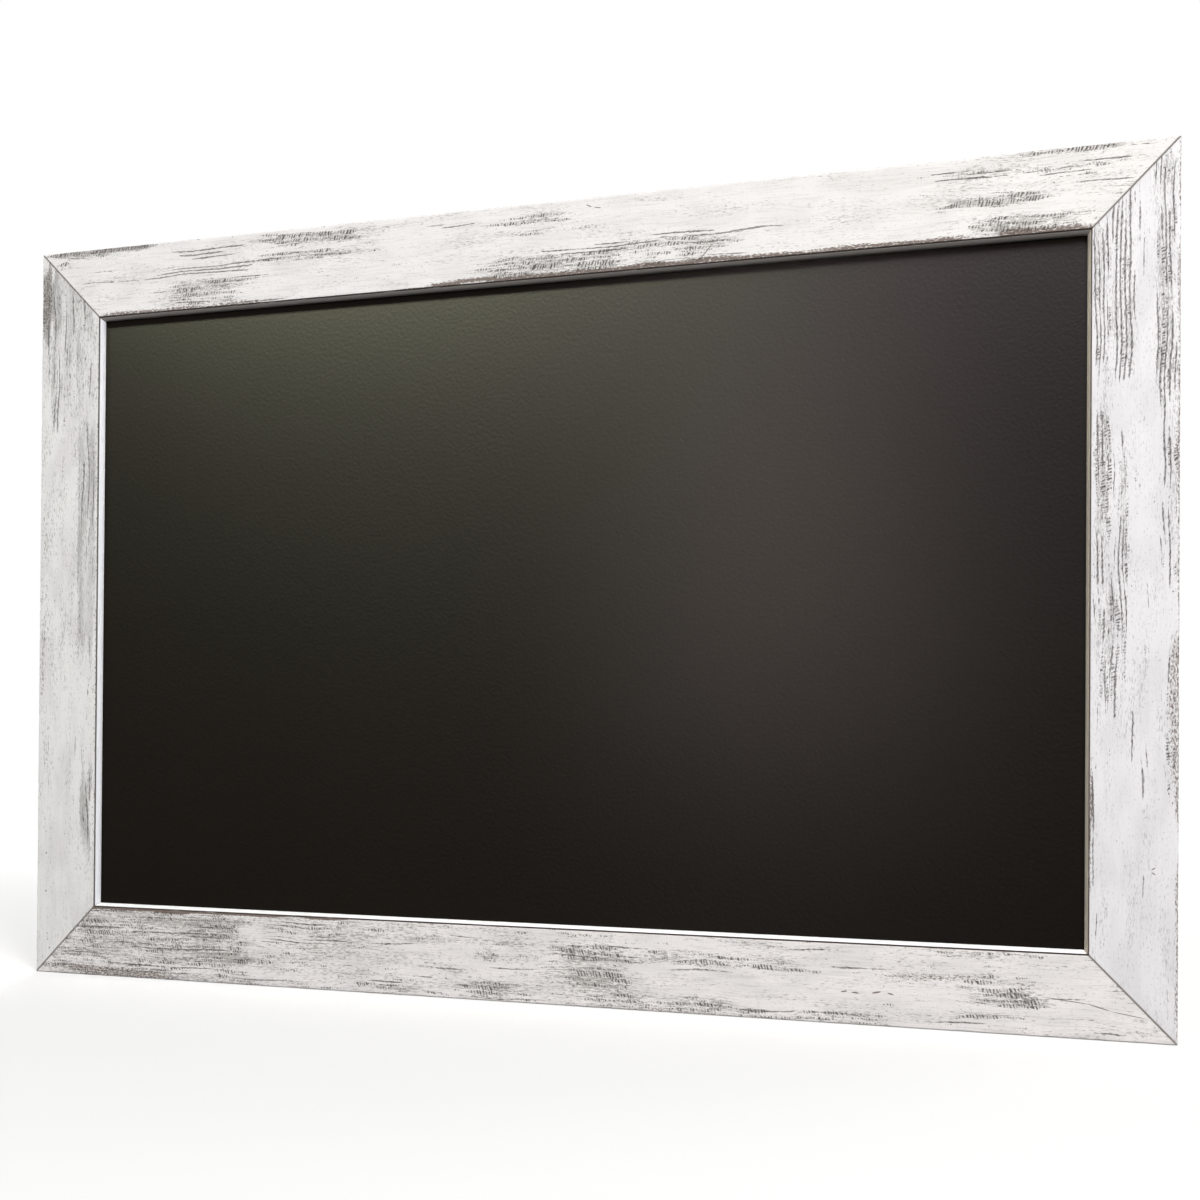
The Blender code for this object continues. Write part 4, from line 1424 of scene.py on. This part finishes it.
def buildCamera():
    look = cameraLook
    right = Vector(look["right"])
    up = Vector(look["up"])
    back = right.cross(up)
    data = bpy.data.cameras.new("camera")
    data.lens = look["lens"]
    data.sensor_width = look["sensor"]
    data.shift_x, data.shift_y = look["shift"]
    data.clip_start, data.clip_end = look["clip"]
    camera = linked("camera", data)
    turn = Matrix((right, up, back)).transposed().to_4x4()
    camera.matrix_world = Matrix.Translation(look["place"]) @ turn
    bpy.context.scene.camera = camera


buildCamera()


# Studio: level is how bright the lamp makes a white card that faces it at the board

lamps = {
    "key": {"place": (1.90, -2.25, 2.00), "size": (0.75, 0.75), "level": 0.86, "tone": (1.0, 0.985, 0.965)},
    "fill": {"place": (-1.65, -2.40, 1.10), "size": (1.6, 1.6), "level": 0.29, "tone": (0.97, 0.985, 1.0)},
    "behind": {"place": (-1.50, 2.60, 1.05), "size": (1.3, 1.3), "level": 0.74, "tone": (1.0, 0.99, 0.975)},
    "behindRight": {"place": (1.90, 1.90, 0.80), "size": (1.3, 1.3), "level": 0.28, "tone": (1.0, 1.0, 1.0)},
}

# Soft boxes that only show as the sheen on the matte coat; aim is the height they point at
sheens = {
    "sheenLeft": {
        "place": (-0.29, -0.20, 0.83), "size": (0.73, 0.05), "level": 44.0, "tone": (0.98, 1.0, 0.70),
        "aim": 0.305, "spread": 180,
    },
    "sheenRight": {
        "place": (0.30, -0.36, 1.10), "size": (0.9, 0.35), "level": 22.0, "tone": (1.0, 0.86, 1.0),
        "aim": 0.305, "spread": 180,
    },
    "sheenMiddle": {
        "place": (0.16, -0.80, 0.45), "size": (0.16, 0.40), "level": 0.29, "tone": (1.0, 0.90, 0.90),
        "aim": 0.340, "spread": 30,
    },
}

studio = {
    "floorRadius": 9.0,
    "floorDrop": 0.0001,
    "shade": 0.92,
    "glow": 0.48,
    "bounce": 0.05,
    "near": 0.8,
    "far": 2.4,
    "ambient": 0.34,
}


def addLamp(name, look, target):
    place = Vector(look["place"])
    data = bpy.data.lights.new(name, "AREA")
    data.shape = "ELLIPSE"
    data.size, data.size_y = look["size"]
    data.color = look["tone"]
    data.energy = look["level"] * math.pi ** 2 * (place - target).length_squared
    lamp = linked(name, data)
    lamp.location = place
    lamp.rotation_euler = (target - place).to_track_quat("-Z", "Y").to_euler()
    lamp.visible_camera = False
    return lamp


def buildSheens():
    receivers = bpy.data.collections.new("sheen_receivers")
    receivers.objects.link(writingSheet)
    for name, look in sheens.items():
        lamp = addLamp(name, look, Vector((look["place"][0], 0, look["aim"])))
        lamp.data.spread = math.radians(look["spread"])
        lamp.visible_diffuse = False
        lamp.visible_transmission = False
        lamp.light_linking.receiver_collection = receivers


def seenDirectly(tree):
    # 1 for what the camera, a reflection or a clear piece shows
    path = addNode(tree, "ShaderNodeLightPath").outputs
    seen = calc(tree, "MAXIMUM", path["Is Camera Ray"], path["Is Glossy Ray"])
    return calc(tree, "MAXIMUM", seen, path["Is Transmission Ray"])


def buildFloor():
    look = studio
    bm = bmesh.new()
    bmesh.ops.create_circle(bm, cap_ends=True, radius=look["floorRadius"], segments=96)
    floor = linked("floor", fromBmesh("floor", bm))
    floor.location.z = boardLow.z - look["floorDrop"]
    material, tree, shader = newMaterial("studio_floor")
    tree.nodes.remove(shader)
    away = addNode(tree, "ShaderNodeVectorMath", {0: placeOf(tree)}, operation="LENGTH").outputs["Value"]
    fade = scaled(tree, band(tree, away, look["near"], look["far"]), look["glow"], 1.0)
    shade = addNode(tree, "ShaderNodeBsdfDiffuse", {"Color": (*[look["shade"]] * 3, 1)})
    glow = addNode(tree, "ShaderNodeEmission", {"Color": (1, 1, 1, 1), "Strength": 1.0})
    bounce = addNode(tree, "ShaderNodeBsdfDiffuse", {"Color": (*[look["bounce"]] * 3, 1)})
    shown = addNode(tree, "ShaderNodeMixShader", {0: fade, 1: shade.outputs[0], 2: glow.outputs[0]})
    mixed = addNode(tree, "ShaderNodeMixShader", {0: seenDirectly(tree), 1: bounce.outputs[0]})
    tree.links.new(shown.outputs[0], mixed.inputs[2])
    tree.links.new(mixed.outputs[0], tree.nodes["Material Output"].inputs["Surface"])
    floor.data.materials.append(material)


def buildWorld():
    world = bpy.data.worlds.new("studio")
    world.use_nodes = True
    bpy.context.scene.world = world
    tree = world.node_tree
    ambient = tree.nodes["Background"]
    ambient.inputs["Color"].default_value = (1, 1, 1, 1)
    ambient.inputs["Strength"].default_value = studio["ambient"]
    white = addNode(tree, "ShaderNodeBackground", {"Color": (1, 1, 1, 1), "Strength": 1.0})
    inputs = {0: seenDirectly(tree), 1: ambient.outputs[0], 2: white.outputs[0]}
    mixed = addNode(tree, "ShaderNodeMixShader", inputs)
    tree.links.new(mixed.outputs[0], tree.nodes["World Output"].inputs["Surface"])


for lampName, lampLook in lamps.items():
    addLamp(lampName, lampLook, Vector((0, 0, boardHeight / 2)))
buildSheens()
buildFloor()
buildWorld()
bpy.context.scene.view_settings.view_transform = "Standard"
print("studio lit")

bpy.context.view_layer.update()
